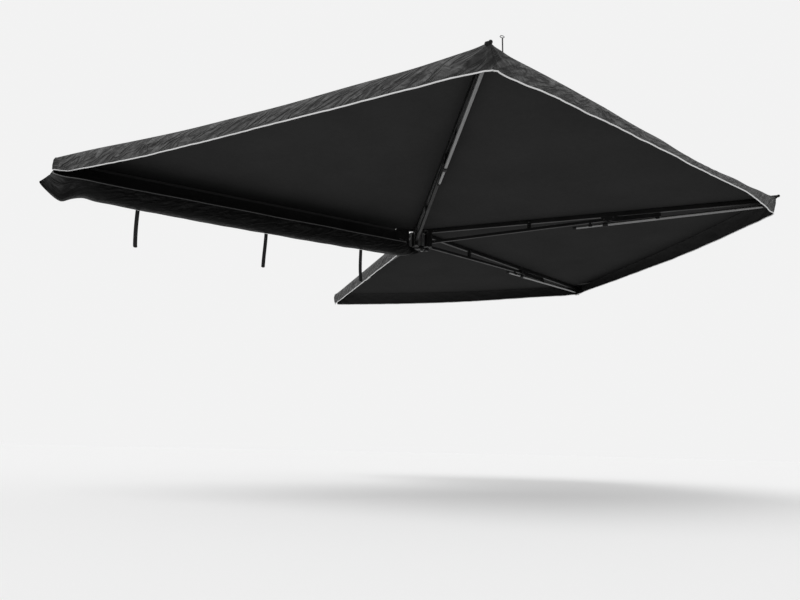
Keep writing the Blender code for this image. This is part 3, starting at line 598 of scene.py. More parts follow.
def cloth_material(
    name, colour, roughness, pitch, low, high, rows=(), thread=0.02, sheen=0.0, specular=0.35,
    creases=None, puckered_with_painted_shade=False,
):
    """Woven cloth with soft crumples and rows of stitches.

    Pitch is from thread to thread, low and high are the dye's darkest and lightest, thread is the
    stitches' grey, and creases are (darkest painted shade, lightest painted highlight, depth).
    Puckered cloth gets painted light and shade on its puckers and a painted dark fold band.
    """
    material, tree, shader = start_material(name, roughness, specular=specular)
    feed(tree, shader, {"Sheen Weight": sheen, "Sheen Roughness": 0.6})
    uv = cloth_vector(tree)
    place = object_vector(tree)
    weave = effect(tree, "Weave", uv, Pitch=pitch)
    dye = effect(tree, "Mottle", place, Scale=2.3, Low=low, High=high)
    factors = [weave.outputs["Shade"], dye.outputs["Factor"]]
    crumple = noise_node(tree, place, 22.0, 5.0, 0.6)
    layers = [(crumple, 0.004, 0.35), (weave.outputs["Height"], 0.0002, 0.35)]
    if creases:
        # painted shade in the crease valleys and painted highlight on their ridges
        folds = effect(tree, "Creases_Painted_Shade", uv, Low=creases[0], High=creases[1])
        factors.append(folds.outputs["Shade"])
        layers.insert(0, (folds.outputs["Height"], creases[2], 0.9))
    if puckered_with_painted_shade:
        # painted light and shade on the puckers, and a painted dark fold band below a painted lighter roll
        puckers = effect(tree, "Puckers_Painted_Shade", uv)
        factors += [puckers.outputs["Shade"], effect(tree, "Painted_Fold_Band", uv).outputs["Shade"]]
        layers.insert(0, (puckers.outputs["Height"], 0.0012, 0.8))
    base = tint(tree, shader, colour, factors)
    for row in rows:
        stitches = effect(tree, "Stitches", uv, Row=row)
        base = lighten(tree, shader, base, stitches.outputs["Mask"], (thread, thread, thread))
        layers.append((stitches.outputs["Mask"], 0.0006, 0.8))
    bump(tree, shader, layers)
    return material


def coat_material(name, colour, roughness, grain, wear):
    """Black powder coat or moulded nylon with grain, a few scuffs and a little dust."""
    material, tree, shader = start_material(name, roughness, specular=0.08)
    place = object_vector(tree)
    dust = effect(tree, "Mottle", place, Scale=4.0, Low=0.75, High=1.5)
    base = tint(tree, shader, colour, [dust.outputs["Factor"]])
    scuffs = effect(tree, "Scuffs", place, Scale=26.0, Amount=wear)
    lighten(tree, shader, base, scuffs.outputs["Mask"], (0.10, 0.10, 0.10))
    rough = effect(tree, "Mottle", place, Scale=7.0, Low=roughness - 0.07, High=roughness + 0.10)
    tree.links.new(rough.outputs["Factor"], shader.inputs["Roughness"])
    peel = effect(tree, "Grain", place, Scale=grain)
    bump(tree, shader, [(peel.outputs["Height"], 0.0003, 0.30)])
    return material


def metal_material(name, colour, roughness, angle=0.0, draw=0.0):
    """Bare metal; draw is the strength of the fine lines left along a tube that lies at the angle."""
    material, tree, shader = start_material(name, roughness, metallic=1.0)
    place = object_vector(tree)
    turn = tree.nodes.new("ShaderNodeMapping")
    feed(tree, turn, {"Rotation": (0, 0, -angle), "Scale": (3.0, 260.0, 260.0), "Vector": place})
    lines = noise_node(tree, turn.outputs[0], 1.0, 3.0, 0.6)
    smudge = effect(tree, "Mottle", place, Scale=5.0, Low=0.86, High=1.06)
    streak = ramp_node(tree, lines, 0.3, 0.7, 1 - draw, 1.0)
    tint(tree, shader, colour, [smudge.outputs["Factor"], streak])
    rough = effect(tree, "Mottle", place, Scale=9.0, Low=roughness - 0.05, High=roughness + 0.12)
    tree.links.new(rough.outputs["Factor"], shader.inputs["Roughness"])
    bump(tree, shader, [(lines, 0.0001, 0.25)])
    return material


def arm_turn(number):
    along = arm_space(number).to_3x3() @ Vector((1, 0, 0))
    return math.atan2(along.y, along.x)


def canvas_pair(rows=(), slack=False):
    """The canvas's outer face and its coated inner face; slack canvas is creased and has puckers, with painted
    shade and highlights on its creases and puckers and a painted dark fold band.
    """
    key = "_".join(["slack_canvas" if slack else "taut_canvas"] + [f"{row * 1000:.0f}" for row in rows])
    outer = bpy.data.materials.get(key)
    if outer is None:
        # slack canvas gets painted shade and highlights on its creases and puckers, and a painted dark fold band
        outer = cloth_material(
            key, bpy.context.scene.awning_colours.canvas, 0.85, 0.0011, 0.75, 1.30, rows, thread=0.05,
            sheen=0.10, specular=0.20, creases=(0.32, 1.50, 0.020) if slack else None, puckered_with_painted_shade=slack,
        )
    return [outer, named_cloth("canvas_lining")]


CLOTHS = {  # colour, roughness, pitch, low and high, and what else cloth_material takes
    "canvas_lining": ("lining", 0.75, 0.0011, 0.90, 1.10, {"specular": 0.0}),
    "piping": ("piping", 0.60, 0.0008, 0.88, 1.06, {}),
    # the bag's creases carry painted shade in their valleys and painted highlights on their ridges
    "bag_weave": ("bag", 0.62, 0.0014, 0.75, 1.35, {"specular": 0.08, "creases": (0.45, 1.60, 0.010)}),
    "bag_piping": ("bag_piping", 0.55, 0.0009, 0.85, 1.15, {}),
    "seam_tape": ("canvas", 0.78, 0.0011, 0.80, 1.10, {"rows": TAPE_STITCHES, "thread": 0.05}),
    "strap_weave": ("webbing", 0.75, 0.0017, 0.80, 1.30, {"rows": STRAP_STITCHES, "thread": 0.03}),
}


def named_cloth(name):
    """Finds or makes one of the plain cloth finishes."""
    found = bpy.data.materials.get(name)
    if found:
        return found
    colour, roughness, pitch, low, high, more = CLOTHS[name]
    grey = getattr(bpy.context.scene.awning_colours, colour)
    return cloth_material(name, grey, roughness, pitch, low, high, **more)


# Canopy

def seam_point(seam, share, side):
    """A point on a seam from the hub at 0 to the corner at 1; side is -1 or +1 of the seam's middle."""
    if seam == 0:
        x = HUB.x - EDGE_START
        return Vector((x + share * (FRONT_CORNER.x - x), FRONT_CORNER.y, HUB.z))
    along = SEAM_START + share * (arm_reach(seam) - SEAM_START)
    return arm_space(seam) @ Vector((along, side * 0.0004, 0))


def corner_rise(number, distance):
    """How far the canvas is lifted at a distance from a corner."""
    return CORNER_RISES[number] * fade(distance, CORNER_SPREAD)


def corner_pull(number, distance, pulls=CORNER_PULLS, reach=PULL_REACH):
    """How the canvas, or its hem, is drawn out along its arm at a distance from a corner."""
    if number == 0:
        return Vector((0, 0, 0))
    pull = Vector((*pulls[number], 0))
    return arm_space(number).to_3x3() @ pull * fade(distance, reach)


def edge_rise(number, part):
    """The height of a panel's outer edge over the level on which the canvas lies."""
    rise = through((CORNER_RISES[number - 1], *EDGE_RISES[number], CORNER_RISES[number]), part)
    if number == 2:  # a small peak just past corner 1
        rise += 0.009 * fade(part - 0.028, 0.018)
    return rise


def panel_height(number, share, part, first, last, point):
    """The canvas's height over the level on which it lies."""
    cloth = bpy.context.scene.awning_cloth
    middle = smooth(6 * part * (1 - part))
    by_corner = fade((1 - share) * ARM_REACH, CORNER_SPREAD)
    edge = edge_rise(number, part) * (by_corner + (share**2 - by_corner) * middle)
    sag = 24 * cloth.panel_sag * share**2 * (1 - share) * part * (1 - part)
    loose = middle * smooth(2.2 * share) * smooth(9 * (1 - share))
    out = share * ARM_REACH
    across = (part - 0.5) * out
    ripple = 0.55 * crease(out * 3.1 + 0.4 * across, across * 0.8, number * 3.7)
    ripple += 0.45 * crease(out * 1.1 - across * 2.6, out * 0.7 + across * 1.3, number * 5.1 + 20)
    fans = 0
    for spot, turn in ((first, 1), (last, -1)):
        away = (point - spot).length
        edge_run = (last - first) * turn
        angle = edge_run.angle(point - spot) if away > 0.001 else 0
        window = smooth(away / 0.10) * fade(away, 0.55)
        wander = 0.9 * noise.noise(Vector((angle * 5, number, 0)))
        fans += window * (1 - 2 * abs(math.sin(angle * 6.5 + wander)))
    return CANVAS_TOP + edge - sag + loose * (cloth.ripple * ripple + FAN_HEIGHT * fans)


def panel_point(number, part, share):
    """A point on a panel; part goes from seam to seam, share from the hub to the outer edge."""
    start = seam_point(number - 1, share, 1)
    stop = seam_point(number, share, -1)
    point = start.lerp(stop, part)
    first, last = corner(number - 1), corner(number)
    point.z += panel_height(number, share, part, first, last, point)
    flat = Vector((point.x, point.y, HUB.z))
    point += corner_pull(number - 1, (flat - first).length)
    return point + corner_pull(number, (flat - last).length)


class AWNING_OT_canopy(bpy.types.Operator):
    """Build the four canopy panels, their tapes and patches, and the beaded edge in the channel"""

    bl_idname = "awning.canopy"
    bl_label = "Canopy"

    def execute(self, context):
        cloth = context.scene.awning_cloth
        for number in range(1, ARM_COUNT + 1):
            tapes = [self.seam_tape(number), self.corner_patch(number)]
            self.panel(number, cloth, tapes)
        self.apex_patch()
        self.beaded_edge()
        self.hub_flap()
        return {"FINISHED"}

    def panel(self, number, cloth, tapes):
        width = (corner(number) - corner(number - 1)).length
        bm = surface(130, 110, (width, ARM_REACH), lambda u, v: panel_point(number, u, v))
        face_towards(bm, UP)
        area = flat_area(bm)
        name, body = f"canopy_panel_{number}", f"arm_{number}"
        panel = add_piece(name, bm, canvas_pair(), body, cloth.thickness)
        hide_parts(f"canopy_gore_{number}")
        across, anchor = across_arm(number), arm_space(number).translation
        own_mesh(panel)
        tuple(across)
        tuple(anchor)

    def seam_tape(self, number):
        """The doubled strip sewn over a seam, above the rafter."""
        place = arm_space(number)
        reach = arm_reach(number) - 0.006
        half = 0.015
        start = SEAM_START + 0.020

        def point(u, v):
            along = start + u * (reach - start)
            across = (v - 0.5) * 2 * half
            crown = 0.0006 * (2 * v - 1) ** 2
            rise = CANVAS_TOP + 0.0012 + corner_rise(number, reach - along) - crown
            return place @ Vector((along, across, rise)) + corner_pull(number, reach - along)

        bm = surface(160, 4, (reach - start, 2 * half), point)
        tape = [named_cloth("seam_tape")]
        return add_piece(f"seam_tape_{number}", bm, tape, f"arm_{number}", TAPE_THICKNESS)

    def corner_patch(self, number):
        """The doubled piece that spreads the pull of the knob."""
        place = arm_space(number)
        reach = arm_reach(number) - 0.004
        size = 0.150
        slope = 1.45

        def point(u, v):
            back = size * (1 - v)
            wide = max(0.0, back * slope)
            across = (u - 0.5) * 2 * wide
            if number == ARM_COUNT:
                across = -u * wide + 0.006
            away = math.hypot(back, across)
            spot = place @ Vector((reach - back, across, 0))
            spot.z += CANVAS_TOP + 0.0018 + corner_rise(number, away) - 0.10 * abs(across) * back
            return spot + corner_pull(number, away)

        bm = surface(16, 10, (2 * size * slope, size), point)
        bmesh.ops.remove_doubles(bm, verts=bm.verts[:], dist=0.0002)
        tape = [named_cloth("seam_tape")]
        patch = add_piece(f"corner_patch_{number}", bm, tape, f"arm_{number}", TAPE_THICKNESS)
        across = across_arm(number)
        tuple(place.translation)
        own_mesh(patch)
        return patch

    def beaded_edge(self):
        """The strip that joins the first panel to the bead in the channel's groove."""
        front = FRONT_CORNER.x
        rear = HUB.x - EDGE_START + 0.003
        rows = [
            Vector((0, 0.0740, 0.0040)), Vector((0, 0.0762, 0.0038)), Vector((0, 0.0784, 0.0010)),
            Vector((0, 0.0788, -0.0040)), Vector((0, 0.0790, -0.0128)), Vector((0, 0.0850, -0.0130)),
        ]

        def point(u, v):
            spot = through(rows, v)
            away = u * (rear - front)
            lift = corner_rise(0, away) * (1 - smooth(v * 1.6))
            return Vector((front + away, HUB.y + spot.y, HUB.z + spot.z + lift))

        bm = surface(150, 14, (rear - front, 0.030), point)
        face_towards(bm, UP)
        canvas = canvas_pair(EDGE_STITCHES)
        add_piece("beaded_edge", bm, canvas, "vehicle_side", BEAD_THICKNESS)

    def hub_flap(self):
        """The flap that carries the canvas over the hub bracket up to the channel."""
        left, right = -EDGE_START - 0.045, -0.024
        near, far = -0.040, 0.0792

        def point(u, v):
            x = left + u * (right - left)
            over = smooth((x + EDGE_START + 0.012) / 0.016)
            turned_down = 0.0010 * smooth((v - 0.9) * 10)
            return HUB + Vector((x, near + v * (far - near), 0.0050 + 0.0045 * over - turned_down))

        bm = surface(40, 24, (right - left, far - near), point)
        face_towards(bm, UP)
        canvas = canvas_pair(EDGE_STITCHES)
        add_piece("hub_flap", bm, canvas, "vehicle_side", FLAP_THICKNESS)

    def apex_patch(self):
        """The round patch that is sewn over the point where the panels meet."""
        low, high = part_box("apex_patch")
        bm = bmesh.new()
        bmesh.ops.create_circle(bm, cap_ends=True, radius=(high.x - low.x) / 2, segments=64)
        for _ring in range(6):
            rim = [face for face in bm.faces if len(face.verts) == 64]
            bmesh.ops.inset_region(bm, faces=rim, thickness=0.014, use_even_offset=True)
        layer = bm.loops.layers.uv.new("Cloth")
        for face in bm.faces:
            for loop in face.loops:
                spot = loop.vert.co
                loop[layer].uv = (math.atan2(spot.y, spot.x) * 0.1, spot.to_2d().length)
        middle = Vector((HUB.x, HUB.y, low.z + 0.0045))
        for vert in bm.verts:
            out = vert.co.to_2d().length / 0.105
            wave = 0.0008 * math.sin(math.atan2(vert.co.y, vert.co.x) * 5) * out**2
            vert.co = middle + vert.co + Vector((0, 0, wave - 0.0020 * out**2))
        canvas = canvas_pair(PATCH_STITCHES)
        patch = add_piece("apex_cover", bm, canvas, "vehicle_side", COVER_THICKNESS)
        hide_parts("apex_patch")


# Valance

def edge_line(number):
    """First and last point of a valance's edge, and the direction out; edge 5 lies along arm 4."""
    if number <= ARM_COUNT:
        first = corner(number - 1)
        last = corner(number)
    else:
        place = arm_space(ARM_COUNT)
        lead = 0.0175
        first = place @ Vector((arm_reach(ARM_COUNT) + 0.011, lead, 0))
        last = place @ Vector((0.125, lead, 0))
    run = (last - first).normalized()
    out = Vector((-run.y, run.x, 0))
    middle = corner(1).lerp(corner(3), 0.5)
    inner = middle if number <= ARM_COUNT else corner(3)
    if out.dot(first - inner) < 0:
        out.negate()
    return first, last, out


def edge_path(number, radius):
    """The valance's line in plan, rounded at its corners, as a function of the share; its length."""
    first, last, out = edge_line(number)
    run = (last - first).normalized()
    near = out if number == 1 else edge_line(number - 1)[2]
    far = edge_line(number + 1)[2] if number <= ARM_COUNT else out
    half_in = near.angle(out) / 2
    half_out = out.angle(far) / 2
    inset = radius - STAND_OFF
    start = first - out * inset + run * inset * math.tan(half_in)
    stop = last - out * inset - run * inset * math.tan(half_out)
    straight = (stop - start).length
    arc_in = radius * half_in
    arc_out = radius * half_out
    total = arc_in + straight + arc_out

    def place(share):
        """The point on the path and the direction out there."""
        length = share * total
        if length < arc_in:
            turn = (arc_in - length) / radius
            facing = out * math.cos(turn) - run * math.sin(turn)
            return start + facing * radius, facing
        if length > arc_in + straight:
            turn = (length - arc_in - straight) / radius
            facing = out * math.cos(turn) + run * math.sin(turn)
            return stop + facing * radius, facing
        return start + run * (length - arc_in) + out * radius, out

    return place, total


def valance_creases(number, length, low, from_stop):
    """How far the slack valance stands out, from about -1 to 1.

    Length runs from the valance's start, and low down from its top.
    """
    slant = length + low * 1.6
    broad = crease(slant * 4.6, low * 2.2, number * 9.1)
    sharp = crease(length * 13 + low * 19, low * 6 - length * 3, number * 4.3)
    counter = crease(length * 9 - low * 23, low * 4 + length * 2, number * 6.7)
    bulge = 0.50 * broad + 0.30 * sharp + 0.28 * counter
    bulge += 0.8 * noise.noise(Vector((length * 1.9, low * 5, number)))
    for away in (length, from_stop):
        angle = math.atan2(low, away + 0.004)
        window = smooth(away / 0.010) * fade(away, 0.17)
        bulge += 1.1 * window * (1 - 2 * abs(math.sin(angle * 4.6 + 0.4)))
    return bulge


def valance_point(number, paths, u, v):
    """A point on the valance; v goes from the seam on the canopy at 0 down to the hem at 1."""
    cloth = bpy.context.scene.awning_cloth
    (top_path, total), (hem_path, _) = paths
    upper, facing = top_path(u)
    lower, low_facing = hem_path(u)
    from_start = u * total
    from_stop = total - from_start
    drop = cloth.valance_drop
    if number == 1:
        drop -= FRONT_TAPER[0] * max(0, 1 - from_start / FRONT_TAPER[1])
    rise = edge_rise(number, u) if number <= ARM_COUNT else corner_rise(ARM_COUNT, from_start)
    pull = corner_pull(number - 1, from_start)
    hem_pull = corner_pull(number - 1, from_start, HEM_PULLS, HEM_REACH)
    if number <= ARM_COUNT:
        pull += corner_pull(number, from_stop)
        hem_pull += corner_pull(number, from_stop, HEM_PULLS, HEM_REACH)
    top = CANVAS_TOP + 0.0006 + rise
    if v < LAP_SHARE:
        share = v / LAP_SHARE
        point = upper - facing * VALANCE_LAP * (1 - share) + pull
        point.z += top - EDGE_ROLL * smooth(share) ** 2
        return point
    share = (v - LAP_SHARE) / (1 - LAP_SHARE)
    low = drop * share
    angle = through(HEM_ANGLES[number], u)
    outward = facing.lerp(low_facing, smooth(share * 1.4)).normalized()
    point = upper.lerp(lower, smooth(share * 1.4)) + pull.lerp(hem_pull, smooth(share * 1.3))
    free = smooth(share * 4) * (1 - 0.45 * smooth((share - 0.80) * 5))
    bulge = cloth.valance_crease * free * valance_creases(number, from_start, low, from_stop)
    lean = low * math.sin(angle) + 0.004 * math.sin(math.pi * share)
    point += outward * (lean + bulge * math.cos(angle))
    point.z += top - EDGE_ROLL * (1 - share) - low * math.cos(angle) + bulge * math.sin(angle)
    point.z += 0.0022 * share * noise.noise(Vector((from_start * 7, number * 2.0, 3.3)))
    return point


class AWNING_OT_valance(bpy.types.Operator):
    """Build the hanging strip round the canopy and the piping on its hem"""

    bl_idname = "awning.valance"
    bl_label = "Valance"

    def execute(self, context):
        cloth = context.scene.awning_cloth
        for number in range(1, ARM_COUNT + 2):
            paths = edge_path(number, EDGE_RADIUS), edge_path(number, TURN_RADIUS)
            total = paths[0][1]
            name = f"valance_{number}" if number <= ARM_COUNT else "valance_trailing"
            node = f"edge_valance_{number}" if number <= ARM_COUNT else "trailing_valance"
            arm = min(number, ARM_COUNT)
            height = cloth.valance_drop + VALANCE_LAP
            bm = surface(
                int(total / 0.0050), 26, (total, height),
                lambda u, v: valance_point(number, paths, u, 1 - v),
            )
            face_towards(bm, paths[0][0](0.5)[1])
            area = flat_area(bm)
            canvas = canvas_pair(HEM_STITCHES, slack=True)
            strip = add_piece(name, bm, canvas, f"arm_{arm}", cloth.thickness)
            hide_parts(node)
            trims = [self.piping(number, name, paths, total, arm)]
            if number == 1:
                trims.append(self.end_binding(name, paths, arm))
            if number <= ARM_COUNT:
                across, anchor = across_arm(arm), arm_space(arm) @ Vector((0, -0.018, 0))
                for piece in (strip, *trims):
                    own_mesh(piece)
                    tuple(across)
                    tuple(anchor)
        return {"FINISHED"}

    def piping(self, number, name, paths, total, arm):
        """The light cord along the hem."""
        cloth = bpy.context.scene.awning_cloth
        radius = cloth.piping / 2
        steps = int(total / 0.009)
        inset = 0.2 * radius / total
        points = []
        for step in range(steps + 1):
            u = inset + (1 - 2 * inset) * step / steps
            point = valance_point(number, paths, u, 1)
            points.append(point - Vector((0, 0, radius * 0.7)))
        return add_cord(name + "_piping", points, radius, "piping", f"arm_{arm}")

    def end_binding(self, name, paths, arm):
        """The dark tape round the first valance's free end."""
        points = [valance_point(1, paths, 0, 0.08 + 0.92 * step / 24) for step in range(25)]
        name += "_binding"
        return add_cord(name, points, BINDING_RADIUS, "strap_weave", f"arm_{arm}")


# Travel bag

def bag_section(share, x):
    """The bag's open section from the channel round to the lip, as points in the row frame."""
    sag = 0.024 * math.sin(math.pi * (0.12 + 0.8 * share))
    bulge = 0.045 * fade(x + 2.585, 0.055) - 0.012 * fade(x + 2.455, 0.040)  # behind the front
    rows = [
        (0.0950, CHANNEL_BASE - 0.003),
        (0.0975, -0.187 - 0.3 * sag),
        (0.0750, -0.212 - 0.6 * sag - 0.5 * bulge),
        (0.0000, -0.238 - 0.8 * sag - 0.8 * bulge),
        (-0.0800, -0.256 - sag - bulge),
        (-0.1250, -0.259 - sag - bulge),
        (-0.1500, -0.241 - sag - 0.7 * bulge),
        (-0.1540, -0.207 - 0.5 * sag - 0.2 * bulge),
        (-0.1500, -0.176 - 0.10 * bulge),
    ]
    return [HUB + Vector((x, y, z)) for y, z in rows]


def bag_front_seam():
    """The front end, drawn together from the channel to a tip and back up to the canopy's corner."""
    spots = [
        (-2.612, 0.0950, -0.139), (-2.640, 0.050, -0.170), (-2.690, -0.050, -0.214),
        (-2.704, -0.112, -0.232), (-2.704, -0.116, -0.224), (-2.690, -0.070, -0.190),
        (-2.666, -0.010, -0.138), (-2.651, 0.034, -0.106), (-2.643, 0.053, -0.089),
    ]
    return [HUB + Vector(spot) for spot in spots]


def bag_rear_seam():
    """The rear end, drawn together from the channel to a tip under the hub."""
    spots = [
        (-0.190, 0.0950, -0.139), (-0.165, 0.050, -0.180), (-0.130, -0.050, -0.222),
        (-0.108, -0.118, -0.232), (-0.106, -0.122, -0.222), (-0.135, -0.100, -0.196),
        (-0.170, -0.075, -0.170), (-0.200, -0.060, -0.145), (-0.232, -0.050, -0.122),
    ]
    return [HUB + Vector(spot) for spot in spots]


def bag_point(u, v):
    """A point on the bag's outer face; u runs from front to rear, v from the channel to the lip."""
    x = BAG_FRONT + u * (BAG_REAR - BAG_FRONT)
    point = through(bag_section(u, x), v)
    front = 1 - smooth((x - BAG_FRONT) / 0.115)
    rear = 1 - smooth((BAG_REAR - x) / 0.120)
    if front > 0:
        point = point.lerp(through(bag_front_seam(), v), front)
    if rear > 0:
        point = point.lerp(through(bag_rear_seam(), v), rear)
    slack = math.sin(math.pi * v) * (1 - front) * (1 - rear)
    length = u * (BAG_REAR - BAG_FRONT)
    fold = 0.6 * crease(length * 4.2 + v * 1.6, v * 2.4 - length * 0.9, 31.0)
    fold += 0.4 * noise.noise(Vector((length * 9, v * 6, 12.0)))
    gather = math.sin(v * 34) * (front * (1 - front) + rear * (1 - rear)) * 4
    swell = 0.0050 * slack * fold + 0.0035 * gather
    point.y -= swell * 0.5
    point.z -= swell
    lip = smooth((v - 0.86) * 7)
    point.z += 0.0035 * lip * (1 - front) * (1 - rear) * noise.noise(Vector((length * 3.1, 4.0, 0)))
    return point


def bag_base(station):
    """The height of the bag's underside where a strap hangs."""
    share = (station - BAG_FRONT) / (BAG_REAR - BAG_FRONT)
    low = 1
    for step in range(60):
        point = bag_point(share, 0.35 + 0.3 * step / 59)
        if abs(point.y - HUB.y - STRAP_ROW) < 0.006:
            low = min(low, point.z)
    return low


class AWNING_OT_travel_bag(bpy.types.Operator):
    """Build the open travel bag that hangs under the channel, with its bound lip"""

    bl_idname = "awning.travel_bag"
    bl_label = "Travel Bag"

    def execute(self, context):
        cloth = context.scene.awning_cloth
        length = BAG_REAR - BAG_FRONT
        bm = surface(300, 44, (length, BAG_GIRTH), bag_point)
        face_towards(bm, -UP)
        area = flat_area(bm)
        weave = [named_cloth("bag_weave")]
        bag = add_piece("bag_shell", bm, weave, "vehicle_side", cloth.bag_thickness)
        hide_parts("travel_bag")
        steps = 260
        points = [bag_point(step / steps, 1) + Vector((0, 0, 0.001)) for step in range(steps + 1)]
        lip = add_cord("bag_lip", points, LIP_RADIUS, "bag_piping", "vehicle_side")
        flap = self.end_flap()
        for piece in (bag, lip, flap):
            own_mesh(piece)
        return {"FINISHED"}

    def end_flap(self):
        """The gusset that closes the bag's front end from the channel up to the canopy's corner."""
        front = [
            (-2.633, 0.0800, -0.004), (-2.640, 0.0700, -0.055),
            (-2.652, 0.058, -0.086), (-2.660, 0.020, -0.118),
        ]
        back = [
            (-2.596, 0.0780, -0.004), (-2.596, 0.0778, -0.050),
            (-2.596, 0.0778, -0.095), (-2.596, 0.0778, -0.137),
        ]

        def point(u, v):
            near = through([Vector(spot) for spot in front], v)
            far = through([Vector(spot) for spot in back], v)
            return HUB + near.lerp(far, u)

        bm = surface(10, 30, (0.06, 0.14), point)
        face_towards(bm, Vector((-1, 0, 0)))
        weave = [named_cloth("bag_weave")]
        return add_piece("bag_end_flap", bm, weave, "vehicle_side", GUSSET_THICKNESS)


class AWNING_OT_straps(bpy.types.Operator):
    """Build the webbing straps that hang from the travel bag"""

    bl_idname = "awning.straps"
    bl_label = "Closure Straps"

    def execute(self, context):
        for number, station in enumerate(STRAP_STATIONS, 1):
            self.strap(number, station)
        return {"FINISHED"}

    def strap(self, number, station):
        cloth = bpy.context.scene.awning_cloth
        width = cloth.strap_width
        length = cloth.strap_length
        top = bag_base(station) - 0.0022
        sway = STRAP_SWAYS[number - 1]

        def point(u, v):
            down = length * u
            curl = 0.012 * math.sin(math.pi * u) * u
            twist = 0.10 * math.sin(2.2 * u + number)
            side = (v - 0.5) * width
            round_end = 0.006 * (1 - math.sqrt(max(0, 1 - (2 * v - 1) ** 2))) * smooth((u - 0.93) * 14)
            x = HUB.x + station + side * math.cos(twist) + sway * u * u
            y = HUB.y + STRAP_ROW + curl + side * math.sin(twist)
            return Vector((x, y, top - down + round_end))

        bm = surface(48, 6, (length, width), point)
        weave = [named_cloth("strap_weave")]
        strap = add_piece(f"strap_{number}", bm, weave, "vehicle_side", STRAP_THICKNESS)
        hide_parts(f"closure_strap_{number}")
        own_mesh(strap)


# Fasteners

def standing(place, axis):
    """From a head's own space, with Z along the axis, to the place."""
    return Matrix.Translation(place) @ Vector(axis).to_track_quat("Z", "Y").to_matrix().to_4x4()


def hex_head(bm, place, axis, radius, height):
    """A hexagon head with chamfered corners on a washer, standing on the place along the axis."""
    matrix = standing(place, axis)
    bmesh.ops.create_cone(
        bm, cap_ends=True, segments=24, radius1=radius * 1.45, radius2=radius * 1.38,
        depth=height * 0.24, matrix=matrix @ Matrix.Translation((0, 0, height * 0.12)),
    )
    head = bmesh.ops.create_cone(
        bm, cap_ends=True, segments=6, radius1=radius, radius2=radius, depth=height,
        matrix=matrix @ Matrix.Translation((0, 0, height * 0.70)),
    )
    edges = list({edge for vert in head["verts"] for edge in vert.link_edges})
    bmesh.ops.bevel(
        bm, geom=edges, offset=radius * 0.13, affect="EDGES", segments=2, profile=0.5, material=-1
    )


def dome_rivet(bm, place, axis, radius, height):
    """A domed rivet head on the place along the axis."""
    matrix = standing(place, axis) @ Matrix.Diagonal((1, 1, height / radius, 1))
    made = bmesh.ops.create_uvsphere(bm, u_segments=16, v_segments=8, radius=radius, matrix=matrix)
    flat = [vert for vert in made["verts"] if (vert.co - Vector(place)).dot(Vector(axis)) < -1e-6]
    bmesh.ops.delete(bm, geom=flat, context="VERTS")


class AWNING_OT_fasteners(bpy.types.Operator):
    """Build the bolts and rivets on each arm"""

    bl_idname = "awning.fasteners"
    bl_label = "Fasteners"

    def execute(self, context):
        coat = bpy.data.materials.get("black_coat")
        if coat is None:
            raise RuntimeError("Run Finishes before Fasteners")
        for number in range(1, ARM_COUNT + 1):
            self.on_arm(number, coat)
        return {"FINISHED"}

    def on_arm(self, number, finish):
        """The arm's rivets, and the bolts of its strut's brackets and spacer."""
        bm = bmesh.new()
        middle = RAFTER_TOP - 0.015
        for side in (-1, 1):
            out = (0, side, 0)
            for station in RIVET_STATIONS:
                dome_rivet(bm, (station, side * RAFTER_SIDE, middle), out, *RAFTER_RIVET_HEAD)
            share = (STRUT_RIVET - STRUT_START.x) / (STRUT_END.x - STRUT_START.x)
            height = STRUT_START.z + share * (STRUT_END.z - STRUT_START.z)
            dome_rivet(bm, (STRUT_RIVET, side * 0.011, height), out, *STRUT_RIVET_HEAD)
            for station, level in BRACKET_BOLTS:
                hex_head(bm, Vector((station, side * 0.0139, level)), out, *BRACKET_BOLT_HEAD)
            spacer = Vector((SPACER_STATIONS[number - 1], side * 0.0163, -0.020))
            hex_head(bm, spacer, out, *SPACER_BOLT_HEAD)
            dome_rivet(bm, (LEG_PIVOT.x, side * 0.0110, LEG_PIVOT.z), out, *PIVOT_RIVET_HEAD)
        bmesh.ops.recalc_face_normals(bm, faces=bm.faces[:])
        bm.transform(arm_space(number))
        add_piece(f"arm_{number}_fasteners", bm, [finish], f"arm_{number}")


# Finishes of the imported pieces

class AWNING_OT_finishes(bpy.types.Operator):
    """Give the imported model's metal, nylon and rubber pieces their finishes"""

    bl_idname = "awning.finishes"
    bl_label = "Finishes"

    def execute(self, context):
        colours = context.scene.awning_colours
        made = {
            "black_coat": coat_material("black_coat", colours.coat, 0.42, 700.0, 0.35),
            "black_aluminium": coat_material("black_aluminium", colours.coat, 0.38, 900.0, 0.30),
            "nylon": coat_material("nylon", colours.nylon, 0.55, 420.0, 0.20),
            "rubber": coat_material("rubber", colours.rubber, 0.78, 260.0, 0.10),
            "zinc_steel": metal_material("zinc_steel", colours.zinc, 0.36),
            "dark_zinc": metal_material("dark_zinc", [0.3 * part for part in colours.zinc], 0.40),
        }
        for number in range(1, ARM_COUNT + 1):
            made[f"leg_{number}"] = metal_material(
                f"aluminium_leg_{number}", colours.aluminium, 0.33, arm_turn(number), draw=0.22
            )
        for part in frame["record"]["subparts"]:
            node = part["node"]
            slot = part["material_slot"]
            finish = made.get(slot)
            if slot == "bare_aluminium":
                finish = made[node[:5]]
            if node == "ring_pin":
                finish = made["dark_zinc"]
            if finish is None:
                continue
            for holder in frame["nodes"][node].material_slots:
                holder.material = finish
        return {"FINISHED"}


# Stage

